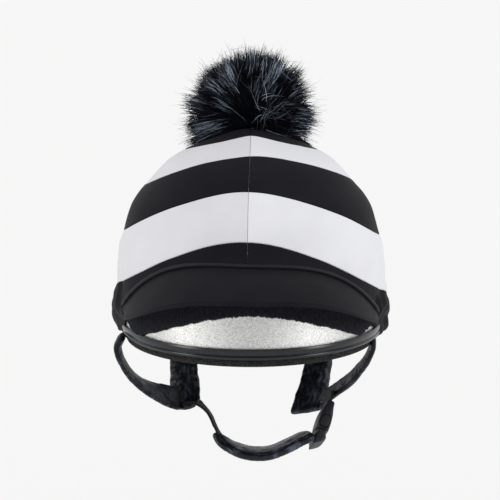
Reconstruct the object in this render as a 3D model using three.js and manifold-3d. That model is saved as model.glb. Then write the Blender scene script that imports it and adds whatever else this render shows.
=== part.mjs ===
import * as THREE from 'three';
import { mergeVertices } from 'three/addons/utils/BufferGeometryUtils.js';
import Module from 'manifold-3d';

const wasm = await Module();
wasm.setup();

// Jockey cap: a hard skull helmet in a striped stretch cover with a soft peak, a fur
// pompom and a padded chin harness. Millimetres, +Z up, the face looks along -Y.
// The origin is the centre of the helmet's rim plane, where a head fills it.

// Hard shell
const rimHalfWidth = 91.5;
const rimFront = 113.5;
const rimBack = 118;
const shellHeight = 140.5;
const shellWall = 4;
const rimLift = 1.3;
const rimSteps = 44;

// Shell's outline from the rim to the crown, as shares of its height and half width.
const shellProfile = [
  { up: 0, wide: 1 }, { up: 0.22, wide: 1 }, { up: 0.43, wide: 0.977 },
  { up: 0.489, wide: 0.963 }, { up: 0.623, wide: 0.899 }, { up: 0.683, wide: 0.845 },
  { up: 0.748, wide: 0.757 }, { up: 0.857, wide: 0.6 }, { up: 0.924, wide: 0.425 },
  { up: 0.97, wide: 0.24 }, { up: 1, wide: 0 },
];

// Rubber trim on the rim, and the textile lining with its rolled lower edge
const seat = 0.3;
const trimWall = 1.5;
const trimTop = 6.8;
const trimBottom = -0.5;
const trimGroove = 0.7;
const linerPad = 11;
const weltHeight = 5;
const weltInset = 1.5;

// Stretch cover over the shell
const fabric = 1.2;
const coverSideEase = 5;
const coverFrontEase = 4.5;
const coverBackEase = 5;
const coverTopEase = 3;
const seamGap = 0.3;
const skirtPuff = 3;
const hemDrop = 2;

// Cover's outline, as shares of its height and half width.
const coverProfile = [
  { up: 0, wide: 1 }, { up: 0.216, wide: 1 }, { up: 0.425, wide: 0.978 },
  { up: 0.481, wide: 0.949 }, { up: 0.613, wide: 0.891 }, { up: 0.672, wide: 0.841 },
  { up: 0.736, wide: 0.759 }, { up: 0.843, wide: 0.611 }, { up: 0.909, wide: 0.442 },
  { up: 0.965, wide: 0.233 }, { up: 1, wide: 0 },
];

// Seams between the stripes. front and back are where a seam crosses the front and the
// back centre line, as shares of the way from rim to apex along the front centre line.
// bend shapes the rise to the front, and roll lowers the side that a positive X names.
const stripeSeams = [
  { name: 'skirt', front: 0.374, back: 0.119, bend: 3.75, roll: -0.014 },
  { name: 'white_lower', front: 0.559, back: 0.3, bend: 3.25, roll: -0.008 },
  { name: 'black_middle', front: 0.74, back: 0.481, bend: 2.28, roll: 0.012 },
  { name: 'white_upper', front: 0.903, back: 0.663, bend: 1.82, roll: 0 },
];

// Peak, its corded seam, and the ribbed elastic hem under it
const seamRise = 0.298;
const seamFall = 0.262;
const seamBend = 3.7;
const seamRoll = -0.0135;
const peakEnd = 67;
const skirtTurn = 4;
const peakReach = 48;
const peakEdgeRise = 48;
const peakEdgeFall = 31;
const peakEdgeBend = 2.9;
const peakThickness = 4.5;
const peakCamber = 3;
const cordRadius = 1.3;
const elasticThickness = 2.6;
const elasticEnd = 65;
const elasticRise = 0.1355;
const elasticFall = 0.15;
const elasticBend = 1.85;

// Pompom
const pompomRadius = 46;
const pompomCore = 39;
const pompomBack = 34;
const pompomRise = 9;
const lockCount = 30;
const lockBase = 16;
const lockTip = 1.6;
const pompomSeat = 0.8;

// Harness, chin strap and buckle
const strapWidth = 23;
const strapThickness = 4.4;
const harnessDrop = 68;
const webbingWidth = 15;
const webbingThickness = 1.8;
const padWidth = 28;
const padThickness = 7.5;
const chinDrop = 86;
const buckleLength = 37;
const buckleWidth = 24;
const buckleThickness = 8.6;
const buckleWall = 1.7;
const buckleBar = 3.2;
const prongThickness = 2.6;
const runClear = 0.35;

// Centre lines. side, back and down are shares of the rim's half width, the rim's front
// half length and the harness drop or the chin drop; wide is a share of the width, and
// wx, wy, wz point across the strap.
const frontStrapRight = [
  { side: 0.93, back: -0.29, down: 0.04, wide: 0.85, wx: 0, wy: -1, wz: 0 },
  { side: 0.985, back: -0.285, down: 0.11, wide: 0.85, wx: 0, wy: -1, wz: 0 },
  { side: 0.96, back: -0.25, down: 0.24, wide: 0.85, wx: 0, wy: -1, wz: -0.1 },
  { side: 0.9, back: -0.18, down: 0.38, wide: 0.87, wx: -0.05, wy: -0.95, wz: -0.2 },
  { side: 0.82, back: -0.08, down: 0.54, wide: 0.9, wx: -0.12, wy: -0.85, wz: -0.4 },
  { side: 0.725, back: 0.03, down: 0.69, wide: 0.95, wx: -0.2, wy: -0.7, wz: -0.6 },
  { side: 0.63, back: 0.13, down: 0.81, wide: 1, wx: -0.25, wy: -0.62, wz: -0.7 },
  { side: 0.54, back: 0.22, down: 0.88, wide: 1, wx: -0.25, wy: -0.6, wz: -0.7 },
  { side: 0.45, back: 0.32, down: 0.92, wide: 0.8, wx: -0.3, wy: -0.6, wz: -0.7 },
];
const frontStrapLeft = [
  { side: -0.95, back: -0.29, down: 0.04, wide: 0.85, wx: 0, wy: -1, wz: 0 },
  { side: -1.02, back: -0.285, down: 0.11, wide: 0.85, wx: 0, wy: -1, wz: 0 },
  { side: -1.01, back: -0.24, down: 0.27, wide: 0.87, wx: 0.05, wy: -1, wz: -0.1 },
  { side: -0.95, back: -0.13, down: 0.46, wide: 0.9, wx: 0.1, wy: -0.9, wz: -0.3 },
  { side: -0.84, back: 0.01, down: 0.65, wide: 1, wx: 0.2, wy: -0.75, wz: -0.5 },
  { side: -0.72, back: 0.13, down: 0.79, wide: 1.05, wx: 0.25, wy: -0.65, wz: -0.65 },
  { side: -0.6, back: 0.23, down: 0.87, wide: 1.05, wx: 0.25, wy: -0.6, wz: -0.7 },
  { side: -0.52, back: 0.32, down: 0.91, wide: 0.8, wx: 0.3, wy: -0.6, wz: -0.7 },
];
const rearStrapRight = [
  { side: 0.57, back: 0.82, down: 0.04, wide: 0.87, wx: 1, wy: 0, wz: 0 },
  { side: 0.575, back: 0.77, down: 0.26, wide: 0.87, wx: 1, wy: 0, wz: 0 },
  { side: 0.565, back: 0.67, down: 0.5, wide: 0.9, wx: 1, wy: 0, wz: 0 },
  { side: 0.54, back: 0.53, down: 0.69, wide: 1, wx: 1, wy: 0, wz: -0.1 },
  { side: 0.495, back: 0.38, down: 0.84, wide: 1.1, wx: 1, wy: 0, wz: -0.05 },
  { side: 0.465, back: 0.26, down: 0.97, wide: 1.15, wx: 1, wy: 0, wz: 0.05 },
];
const rearStrapLeft = [
  { side: -0.57, back: 0.82, down: 0.04, wide: 0.87, wx: 1, wy: 0, wz: 0 },
  { side: -0.575, back: 0.77, down: 0.26, wide: 0.87, wx: 1, wy: 0, wz: 0 },
  { side: -0.565, back: 0.67, down: 0.5, wide: 0.9, wx: 1, wy: 0, wz: 0 },
  { side: -0.555, back: 0.53, down: 0.69, wide: 0.95, wx: 1, wy: 0, wz: 0 },
  { side: -0.545, back: 0.38, down: 0.84, wide: 1, wx: 1, wy: 0, wz: 0 },
  { side: -0.535, back: 0.26, down: 0.98, wide: 0.95, wx: 1, wy: 0, wz: -0.1 },
];
const webbingLine = [
  { side: -0.52, back: 0.27, down: 0.73, wide: 1, wx: -0.3, wy: -0.6, wz: -0.7 },
  { side: -0.43, back: 0.19, down: 0.735, wide: 1, wx: -0.3, wy: -0.65, wz: -0.6 },
  { side: -0.35, back: 0.07, down: 0.775, wide: 1, wx: -0.2, wy: -0.85, wz: -0.3 },
  { side: -0.27, back: -0.1, down: 0.865, wide: 1, wx: 0, wy: -1, wz: 0 },
  { side: -0.19, back: -0.22, down: 0.935, wide: 1, wx: 0, wy: -1, wz: 0 },
  { side: -0.075, back: -0.28, down: 0.98, wide: 1, wx: 0, wy: -1, wz: 0 },
  { side: 0.04, back: -0.305, down: 1, wide: 1, wx: 0, wy: -1, wz: 0 },
  { side: 0.165, back: -0.3, down: 0.99, wide: 1, wx: 0, wy: -1, wz: 0 },
  { side: 0.289, back: -0.282, down: 0.938, wide: 1, wx: 0.05, wy: -1, wz: 0 },
  { side: 0.405, back: -0.247, down: 0.874, wide: 1, wx: 0.1, wy: -0.95, wz: 0.1 },
  { side: 0.475, back: -0.233, down: 0.872, wide: 1, wx: 0.15, wy: -0.9, wz: 0.2 },
  { side: 0.53, back: -0.22, down: 0.91, wide: 1, wx: 0.2, wy: -0.85, wz: 0.5 },
];
const padFrom = 3;
const padTo = 9;

const smoothstep = (x, a, b) => THREE.MathUtils.smoothstep(x, a, b);
const rad = THREE.MathUtils.degToRad;

// Smooth curve through a profile table, run on the square of the width so that the
// crown comes out round.
function widthAt(table, up) {
  if (up <= 0) {
    return 1;
  }
  if (up >= 1) {
    return 0;
  }
  const slopes = [];
  for (let i = 0; i + 1 < table.length; i++) {
    slopes.push((table[i + 1].wide ** 2 - table[i].wide ** 2) / (table[i + 1].up - table[i].up));
  }
  const tangent = table.map((row, i) => {
    if (i === 0 || i === table.length - 1) {
      return i === 0 ? 0 : slopes[i - 1];
    }
    const a = slopes[i - 1];
    const b = slopes[i];
    return a * b > 0 ? 2 * a * b / (a + b) : 0;
  });
  const i = Math.max(0, table.findIndex((row) => row.up >= up) - 1);
  const h = table[i + 1].up - table[i].up;
  const t = (up - table[i].up) / h;
  const a = table[i].wide ** 2;
  const b = table[i + 1].wide ** 2;
  const square = a * (1 + 2 * t) * (1 - t) ** 2 + b * t * t * (3 - 2 * t)
    + h * tangent[i] * t * (1 - t) ** 2 + h * tangent[i + 1] * t * t * (t - 1);
  return Math.sqrt(Math.max(0, square));
}

// A point on a dome: turn is the angle from the front, up the share of its height.
function domePoint(dome, turn, up, inset) {
  const wide = widthAt(dome.profile, up);
  const along = Math.cos(turn) > 0 ? dome.front : dome.back;
  return new THREE.Vector3(
    (dome.half - inset) * wide * Math.sin(turn),
    -(along - inset) * wide * Math.cos(turn),
    up * (dome.height - inset),
  );
}

const shellDome = {
  half: rimHalfWidth, front: rimFront, back: rimBack, height: shellHeight, profile: shellProfile,
};
const coverDome = {
  half: rimHalfWidth + coverSideEase,
  front: rimFront + coverFrontEase,
  back: rimBack + coverBackEase,
  height: shellHeight + coverTopEase,
  profile: coverProfile,
};

// Distance from the rim along the cover's front centre line, against height.
const arcTable = [{ arc: 0, up: 0 }];
const arcSteps = 400;
for (let i = 1; i <= arcSteps; i++) {
  const up = Math.sin(Math.PI / 2 * i / arcSteps);
  const last = arcTable[i - 1];
  const step = Math.hypot(
    (up - last.up) * coverDome.height,
    (widthAt(coverProfile, up) - widthAt(coverProfile, last.up)) * coverDome.front,
  );
  arcTable.push({ arc: last.arc + step, up });
}
const fullArc = arcTable[arcSteps].arc;

function upAtArc(arc) {
  if (arc <= 0) {
    return arc / coverDome.height;
  }
  const i = Math.min(arcSteps, Math.max(1, arcTable.findIndex((row) => row.arc >= arc)));
  const a = arcTable[i - 1];
  const b = arcTable[i];
  return a.up + (b.up - a.up) * Math.min(1, (arc - a.arc) / (b.arc - a.arc));
}

// A point of the cover, inset inward from its outer face. The skirt puffs out at the
// sides, below the stretched part.
function coverPoint(turn, arc, inset) {
  const up = upAtArc(arc);
  const point = domePoint(coverDome, turn, up, inset);
  const low = arc / coverDome.height;
  const puff = skirtPuff * smoothstep(Math.abs(Math.sin(turn)), 0.75, 1)
    * (1 - smoothstep(low, 0.1, 0.25)) * smoothstep(low, -0.09, 0.06);
  point.x += puff * Math.sign(Math.sin(turn));
  return point;
}

// Solid between rows of points; each row is a closed loop, and the first half of a row
// faces the second half.
function loft(rows, closed) {
  const count = rows[0].length;
  const position = [];
  for (const row of rows) {
    for (const point of row) {
      position.push(point.x, point.y, point.z);
    }
  }
  const index = [];
  const last = closed ? rows.length : rows.length - 1;
  for (let i = 0; i < last; i++) {
    const next = (i + 1) % rows.length;
    for (let j = 0; j < count; j++) {
      const k = (j + 1) % count;
      const a = i * count + j;
      const b = i * count + k;
      const c = next * count + k;
      const d = next * count + j;
      index.push(a, b, c, a, c, d);
    }
  }
  if (!closed) {
    for (const base of [0, (rows.length - 1) * count]) {
      for (let j = 0; j + 1 < count / 2; j++) {
        const a = base + j;
        const b = base + j + 1;
        const c = base + count - 2 - j;
        const d = base + count - 1 - j;
        index.push(...(base === 0 ? [a, c, b, a, d, c] : [a, b, c, a, c, d]));
      }
    }
  }
  const geometry = new THREE.BufferGeometry();
  geometry.setAttribute('position', new THREE.Float32BufferAttribute(position, 3));
  geometry.setIndex(index);
  return toSolid(geometry);
}

// Closed three.js geometry to a solid, without collapsed triangles and facing out.
function toSolid(source, matrix) {
  let geometry = source.clone();
  geometry.deleteAttribute('normal');
  geometry.deleteAttribute('uv');
  if (matrix) {
    geometry.applyMatrix4(matrix);
  }
  geometry = mergeVertices(geometry, 1e-4);
  const p = geometry.attributes.position.array;
  const raw = geometry.index.array;
  const index = [];
  let volume = 0;
  const at = (i) => new THREE.Vector3(p[3 * i], p[3 * i + 1], p[3 * i + 2]);
  for (let i = 0; i < raw.length; i += 3) {
    const [a, b, c] = [raw[i], raw[i + 1], raw[i + 2]];
    if (a !== b && b !== c && c !== a) {
      index.push(a, b, c);
      volume += at(a).dot(at(b).cross(at(c)));
    }
  }
  if (volume < 0) {
    for (let i = 0; i < index.length; i += 3) {
      [index[i + 1], index[i + 2]] = [index[i + 2], index[i + 1]];
    }
  }
  return new wasm.Manifold(new wasm.Mesh({
    numProp: 3,
    vertProperties: new Float32Array(p),
    triVerts: new Uint32Array(index),
  }));
}

const object = new THREE.Group();

function add(name, solid, look) {
  const mesh = solid.getMesh();
  const geometry = new THREE.BufferGeometry();
  geometry.setAttribute('position', new THREE.BufferAttribute(new Float32Array(mesh.vertProperties), 3));
  geometry.setIndex(new THREE.BufferAttribute(new Uint32Array(mesh.triVerts), 1));
  geometry.computeVertexNormals();
  const node = new THREE.Mesh(geometry, look);
  node.name = name;
  object.add(node);
}

const finish = (color, roughness, metalness) => new THREE.MeshStandardMaterial({
  color, roughness, metalness,
});
const silver = finish(0xb9bcc2, 0.4, 0.7);
const lining = finish(0x24242a, 0.95, 0);
const rubber = finish(0x2c2f36, 0.4, 0);
const blackLycra = finish(0x222126, 0.7, 0);
const whiteLycra = finish(0xe4e5ea, 0.75, 0);
const plush = finish(0x17171c, 0.95, 0);
const fur = finish(0x23242c, 0.9, 0);
const leatherette = finish(0x1f1f26, 0.45, 0);
const webbing = finish(0x2a2a31, 0.8, 0);
const plastic = finish(0x3a3b40, 0.5, 0);

// Dome wall between two surfaces, open at the rim.
function domeWall(dome, ups, outer, inner, low) {
  const rows = [];
  for (let i = 0; i < rimSteps; i++) {
    const turn = 2 * Math.PI * i / rimSteps;
    const out = ups.map((up) => domePoint(dome, turn, up, outer));
    const inside = ups.map((up) => domePoint(dome, turn, up, inner)).reverse();
    out[0].z = low;
    inside[inside.length - 1].z = low;
    rows.push([...out, ...inside]);
  }
  return loft(rows, true);
}

const wallLevels = [0, 0.22, 0.43, 0.58, 0.7, 0.81, 0.91, 0.97, 1];
add('shell', domeWall(shellDome, wallLevels, 0, shellWall, rimLift), silver);

// Ring that follows the rim; each section point is an outward offset and a height.
function rimRing(section) {
  const rows = [];
  for (let i = 0; i < rimSteps; i++) {
    const turn = 2 * Math.PI * i / rimSteps;
    rows.push(section.map(([out, z]) => {
      const point = domePoint(shellDome, turn, 0, -out);
      point.z = z;
      return point;
    }));
  }
  return loft(rows, true);
}

const trimOut = seat + trimWall;
const trimIn = -shellWall - trimOut;
const trimWaist = trimBottom + 0.36 * (trimTop - trimBottom);
add('rim_trim', rimRing([
  [seat, trimTop - 0.6],
  [seat + 0.5 * trimWall, trimTop],
  [trimOut, trimTop - 1.2],
  [trimOut + 0.25 * trimWall, trimWaist + 1.6],
  [trimOut, trimWaist + 0.5],
  [trimOut - trimGroove, trimWaist],
  [trimOut, trimWaist - 0.5],
  [trimOut - 0.2 * trimWall, trimBottom],
  [trimIn, trimBottom],
  [trimIn, trimTop - 0.6],
  [trimIn + trimWall, trimTop - 0.6],
  [trimIn + trimWall, trimBottom + trimWall - 0.01],
  [seat, trimBottom + trimWall - 0.01],
]), rubber);

// Lining: a pad inside the shell whose rolled edge shows below the trim.
const linerOut = shellWall + seat + 0.3;
const linerLow = shellWall + trimOut + seat;
const linerIn = linerOut + linerPad;
const linerLevels = wallLevels.slice(1);
const bandSteps = 18;
const linerRows = [];
for (let i = 0; i < rimSteps; i++) {
  const turn = 2 * Math.PI * i / rimSteps;
  const rim = (out, z) => {
    const point = domePoint(shellDome, turn, 0, -out);
    point.z = z;
    return point;
  };
  const weltTop = trimBottom - seat;
  const weltBottom = weltTop - weltHeight;
  linerRows.push([
    rim(-weltInset, weltBottom + 0.3 * weltHeight),
    rim(-weltInset, weltTop),
    rim(-linerLow, weltTop),
    rim(-linerLow, trimTop),
    ...linerLevels.map((up) => domePoint(shellDome, turn, up, linerOut)),
    ...linerLevels.filter((up, j) => j % 2).map((up) => domePoint(shellDome, turn, up, linerIn))
      .reverse(),
    rim(-linerIn, trimTop),
    rim(-linerIn, weltTop),
    rim(-linerIn + 0.5, weltBottom + 0.3 * weltHeight),
    rim(-0.6 * linerIn, weltBottom),
    rim(-weltInset - 1, weltBottom),
  ]);
}
add('liner', loft(linerRows, true), lining);

// Seams of the cover
const seamArc = (turn) => fullArc
  * (seamRise - seamFall * Math.abs(Math.sin(turn)) ** seamBend + seamRoll * Math.sin(turn));
function stripeArc(row, turn) {
  const blend = ((1 + Math.cos(turn)) / 2) ** row.bend;
  return fullArc * (row.back + (row.front - row.back) * blend + row.roll * Math.sin(turn));
}
function skirtLow(turn) {
  const lift = 1 - smoothstep(Math.abs(turn), rad(peakEnd), rad(peakEnd + skirtTurn));
  return -hemDrop + (seamArc(turn) + hemDrop) * lift;
}

// One cut piece of the cover on one side, between two seams.
function coverPanel(side, low, high, turns, levels) {
  const rows = turns.map((turn) => {
    const a = low(side * turn) + seamGap / 2;
    const b = high(side * turn) - (high === apexArc ? 0 : seamGap / 2);
    const outer = [];
    const inner = [];
    for (let j = 0; j <= levels; j++) {
      const arc = a + (b - a) * j / levels;
      outer.push(coverPoint(side * turn, arc, 0));
      inner.push(coverPoint(side * turn, arc, fabric));
    }
    const row = [...outer, ...inner.reverse()];
    for (const point of row) {
      point.x = side * Math.max(seamGap / 2, side * point.x);
    }
    return row;
  });
  return loft(rows, false);
}
const apexArc = () => fullArc;
const panelTurns = [
  ...[0, 0.16, 0.32, 0.48, 0.64, 0.78, 0.9, 1].map((t) => rad(peakEnd) * t),
  ...[0.5, 1].map((t) => rad(peakEnd + skirtTurn * t)),
  ...[0.13, 0.26, 0.39, 0.51, 0.62, 0.72, 0.82, 0.91, 1].map((t) => rad(peakEnd + skirtTurn)
    + (Math.PI - rad(peakEnd + skirtTurn)) * t),
];
for (const [side, word] of [[-1, 'right'], [1, 'left']]) {
  const edges = [skirtLow, ...stripeSeams.map((row) => (turn) => stripeArc(row, turn)), apexArc];
  const names = [...stripeSeams.map((row) => row.name), 'crown'];
  names.forEach((name, i) => {
    const levels = [5, 3, 3, 3, 4][i];
    add(`cover_${name}_${word}`, coverPanel(side, edges[i], edges[i + 1], panelTurns, levels),
      i % 2 ? whiteLycra : blackLycra);
  });
}

// Corded seam over the root of the peak
const peakTurns = Array.from({ length: bandSteps + 1 }, (_, i) => rad(peakEnd) * (2 * i / bandSteps - 1));
const cordRows = peakTurns.map((turn) => {
  const centre = coverPoint(turn, seamArc(turn), -cordRadius - seat);
  const out = new THREE.Vector3(Math.sin(turn), -Math.cos(turn), 0);
  return Array.from({ length: 6 }, (_, j) => {
    const angle = 2 * Math.PI * j / 6;
    return centre.clone().addScaledVector(out, cordRadius * Math.cos(angle))
      .add(new THREE.Vector3(0, 0, cordRadius * Math.sin(angle)));
  });
});
add('peak_cord', loft(cordRows, false), blackLycra);

// Soft peak, from its seam to its front edge
const rootDrop = cordRadius + seat;
function peakPoint(turn, reach, depth) {
  const t = turn / rad(peakEnd);
  const root = coverPoint(turn, seamArc(turn) - rootDrop, 0);
  const corner = coverPoint(Math.sign(turn || 1) * rad(peakEnd), 0, 0);
  const sweep = Math.PI / 2 * t;
  const edge = new THREE.Vector3(
    Math.abs(corner.x) * Math.sin(sweep),
    corner.y - (coverDome.front + peakReach + corner.y) * Math.cos(sweep),
    peakEdgeRise - peakEdgeFall * Math.abs(Math.sin(sweep)) ** peakEdgeBend,
  );
  const point = root.clone().lerp(edge, reach);
  const size = peakThickness * (1 - 0.3 * reach) * (0.35 + 0.65 * Math.cos(sweep));
  point.z += peakCamber * Math.sin(Math.PI * reach) * Math.cos(sweep) - depth * size;
  return point;
}
const peakRows = peakTurns.map((turn) => [
  ...[0, 0.22, 0.48, 0.76, 0.97].map((reach) => peakPoint(turn, reach, 0)),
  peakPoint(turn, 1, 0.35),
  peakPoint(turn, 1, 0.65),
  ...[0.97, 0.76, 0.48, 0.22, 0].map((reach) => peakPoint(turn, reach, 1)),
]);
add('peak', loft(peakRows, false), blackLycra);

// Ribbed elastic hem on the shell, below the peak
const elasticRows = Array.from({ length: bandSteps + 1 }, (_, i) => {
  const turn = rad(elasticEnd) * (2 * i / bandSteps - 1);
  const curve = fullArc * (elasticRise - elasticFall * Math.abs(Math.sin(turn)) ** elasticBend);
  const low = Math.max(curve, trimTop + seat);
  const high = seamArc(turn) - rootDrop - peakThickness - seat;
  const outer = [];
  const inner = [];
  for (let j = 0; j <= 3; j++) {
    const up = (low + (high - low) * j / 3) / shellHeight;
    outer.push(domePoint(shellDome, turn, up, -elasticThickness - seat));
    inner.push(domePoint(shellDome, turn, up, -seat));
  }
  return [...outer, ...inner.reverse()];
});
add('elastic_hem', loft(elasticRows, false), plush);

// Pompom: a core with locks of fur fused to it, seated on the crown behind the apex
const seatUp = Math.sqrt(Math.max(0, 1 - (pompomBack / coverDome.back) ** 2));
const pompomCentre = new THREE.Vector3(0, pompomBack, coverDome.height * (0.94 + 0.06 * seatUp) + pompomRise);
let ball = toSolid(new THREE.SphereGeometry(pompomCore, 14, 10), new THREE.Matrix4()
  .makeTranslation(pompomCentre.x, pompomCentre.y, pompomCentre.z));
for (let i = 0; i < lockCount; i++) {
  const height = 1 - 1.45 * (i + 0.5) / lockCount;
  const around = i * Math.PI * (3 - Math.sqrt(5));
  const flat = Math.sqrt(1 - height * height);
  const aim = new THREE.Vector3(flat * Math.cos(around), flat * Math.sin(around), height);
  const length = 0.62 * pompomRadius * (1 + 0.035 * Math.sin(7 * i));
  const lock = new THREE.CylinderGeometry(lockTip, lockBase, length, 4);
  lock.translate(0, pompomRadius - length / 2, 0);
  const place = new THREE.Matrix4().makeRotationFromQuaternion(
    new THREE.Quaternion().setFromUnitVectors(new THREE.Vector3(0, 1, 0), aim),
  ).setPosition(pompomCentre);
  ball = ball.add(toSolid(lock, place));
}
const crownRows = Array.from({ length: 48 }, (_, i) => {
  const turn = 2 * Math.PI * i / 48;
  const ups = [0.5, 0.6, 0.7, 0.78, 0.85, 0.9, 0.94, 0.97, 0.99, 1];
  return [
    ...ups.map((up) => domePoint(coverDome, turn, up, -pompomSeat)),
    new THREE.Vector3(0, 0, 0.5 * coverDome.height),
  ];
});
add('pompom', ball.subtract(loft(crownRows, true)), fur);

// Flat strap along a centre line
function strapLine(table, drop) {
  return table.map((row) => ({
    centre: new THREE.Vector3(row.side * rimHalfWidth, row.back * rimFront, -row.down * drop),
    across: new THREE.Vector3(row.wx, row.wy, row.wz).normalize(),
    wide: row.wide,
  }));
}
function strapSolid(line, width, thickness, grow, from = 0, to = line.length - 1) {
  const rows = [];
  for (let i = from; i <= to; i++) {
    const before = line[Math.max(0, i - 1)].centre;
    const after = line[Math.min(line.length - 1, i + 1)].centre;
    const along = after.clone().sub(before).normalize();
    const across = line[i].across.clone().addScaledVector(along, -line[i].across.dot(along));
    across.normalize();
    const face = along.clone().cross(across);
    const half = width * line[i].wide / 2 + grow;
    const deep = thickness / 2 + grow;
    const section = [
      [-1, -0.4], [-0.8, -1], [0.8, -1], [1, -0.4],
      [1, 0.4], [0.8, 1], [-0.8, 1], [-1, 0.4],
    ];
    rows.push(section.map(([a, b]) => line[i].centre.clone()
      .addScaledVector(across, a * half).addScaledVector(face, b * deep)));
  }
  return loft(rows, false);
}

const weltCut = rimRing([
  [-weltInset + seat, trimTop], [-weltInset + seat, trimBottom - 2 * seat - weltHeight],
  [-linerIn - seat, trimBottom - 2 * seat - weltHeight], [-linerIn - seat, trimTop],
]);
function harness(front, rear, grow) {
  return strapSolid(strapLine(front, harnessDrop), strapWidth, strapThickness, grow)
    .add(strapSolid(strapLine(rear, harnessDrop), strapWidth, strapThickness, grow));
}
add('harness_left', harness(frontStrapRight, rearStrapRight, 0).subtract(weltCut), leatherette);
add('harness_right', harness(frontStrapLeft, rearStrapLeft, 0).subtract(weltCut), leatherette);

// Buckle in its own frame: Y along the strap, X across it, Z through it
const chin = strapLine(webbingLine, chinDrop);
const buckleFoot = new THREE.Vector3(0.504 * rimHalfWidth, -0.238 * rimFront, -0.958 * chinDrop);
const buckleTop = new THREE.Vector3(0.611 * rimHalfWidth, -0.088 * rimFront, -0.638 * chinDrop);
const buckleUp = buckleTop.clone().sub(buckleFoot).normalize();
const buckleHead = buckleFoot.clone().addScaledVector(buckleUp, buckleLength);
const buckleAcross = new THREE.Vector3(0.2, -0.8, 0.6);
buckleAcross.addScaledVector(buckleUp, -buckleAcross.dot(buckleUp)).normalize();
const buckleFace = buckleAcross.clone().cross(buckleUp);
const bucklePlace = new THREE.Matrix4().makeBasis(buckleAcross, buckleUp, buckleFace)
  .setPosition(buckleFoot);

function slab(points, thickness, z) {
  const shape = new THREE.Shape(points.map(([x, y]) => new THREE.Vector2(x, y)));
  const geometry = new THREE.ExtrudeGeometry(shape, { depth: thickness, bevelEnabled: false });
  geometry.translate(0, 0, z);
  return geometry;
}
const box = (x0, x1, y0, y1, z0, z1) => slab([[x0, y0], [x1, y0], [x1, y1], [x0, y1]], z1 - z0, z0);

const half = buckleWidth / 2;
const deep = buckleThickness / 2;
const socketLength = 0.56 * buckleLength;
const socketStart = buckleLength - socketLength;
const mouth = deep - buckleWall;
const window = { from: socketStart + 3.5, to: socketStart + 10 };
const barSlot = webbingThickness + 2 * runClear;
const mouthEnd = buckleLength - 2 * buckleBar - barSlot;
const socket = toSolid(slab([
  [-half, socketStart], [half, socketStart], [half, buckleLength - 3],
  [half - 3, buckleLength], [-half + 3, buckleLength], [-half, buckleLength - 3],
], 2 * deep, -deep))
  .subtract(toSolid(box(-half + buckleWall, half - buckleWall, socketStart - 1,
    mouthEnd, -mouth, mouth)))
  .subtract(toSolid(box(-half - 1, half + 1, window.from, window.to, -mouth, mouth)))
  .subtract(toSolid(box(-half + 3, half - 3, buckleLength - buckleBar - barSlot,
    buckleLength - buckleBar, -deep - 1, deep + 1)));
add('buckle_socket', socket.transform(bucklePlace.elements.slice()), plastic);

const tongue = prongThickness / 2;
const prongTip = mouthEnd - runClear;
const reach = half - buckleWall - runClear;
const plugEnd = socketStart - runClear;
let plug = toSolid(slab([
  [-half, 2], [-half + 3, 0], [half - 3, 0], [half, 2], [half, plugEnd], [-half, plugEnd],
], 2 * deep, -deep))
  .subtract(toSolid(box(-half + 3, half - 3, buckleBar, buckleBar + barSlot, -deep - 1, deep + 1)));
for (const side of [-1, 1]) {
  plug = plug.add(toSolid(slab([
    [side * (reach - 4), plugEnd - 1], [side * (reach - 1), plugEnd - 1],
    [side * (reach - 1), window.from + runClear], [side * (half - 0.4), window.from + 2.5],
    [side * (half - 0.4), window.to - 1.5], [side * (reach - 0.5), window.to - runClear],
    [side * (reach - 1.5), prongTip],
    [side * (reach - 4), prongTip],
  ], prongThickness, -tongue)));
}
plug = plug.add(toSolid(box(-1.6, 1.6, plugEnd - 1, prongTip, -tongue, tongue)));
add('buckle_plug', plug.transform(bucklePlace.elements.slice()), plastic);

// Chin strap: webbing from the right junction through the padded sleeve to the buckle,
// and a short tab from the buckle to the left junction
const harnessCutRight = harness(frontStrapLeft, rearStrapLeft, seat);
const harnessCutLeft = harness(frontStrapRight, rearStrapRight, seat);
const buckleCut = toSolid(box(-half - seat, half + seat, -seat, buckleLength + seat,
  -deep - seat, deep + seat)).transform(bucklePlace.elements.slice());
const chinWebbing = strapSolid(chin, webbingWidth, webbingThickness, 0)
  .subtract(harnessCutRight).subtract(buckleCut);
const largest = (solid) => solid.decompose().sort((a, b) => b.volume() - a.volume())[0];
add('chin_webbing', largest(chinWebbing), webbing);

const sleeve = strapSolid(chin, padWidth, padThickness, 0, padFrom, padTo)
  .subtract(strapSolid(chin, webbingWidth, webbingThickness, seat, padFrom - 1, padTo + 1))
  .subtract(buckleCut);
add('chin_pad', largest(sleeve), leatherette);

const tabEnd = strapLine(frontStrapRight, harnessDrop)[6];
const tabLine = [
  { centre: buckleHead.clone().addScaledVector(buckleUp, -2), across: buckleAcross, wide: 1 },
  { centre: buckleHead.clone().addScaledVector(buckleUp, 2), across: buckleAcross, wide: 1 },
  { centre: buckleHead.clone().lerp(tabEnd.centre, 0.5), across: buckleAcross, wide: 1 },
  { centre: tabEnd.centre.clone(), across: buckleAcross, wide: 1 },
];
const tab = strapSolid(tabLine, webbingWidth, webbingThickness, 0)
  .subtract(harnessCutLeft).subtract(buckleCut);
add('buckle_tab', largest(tab), webbing);

export default object;
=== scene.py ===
"""Jockey cap: a skull helmet in a hooped stretch cover, with a fur pompom and a harness."""
import logging
import math
from dataclasses import dataclass, field
from enum import Enum

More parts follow.
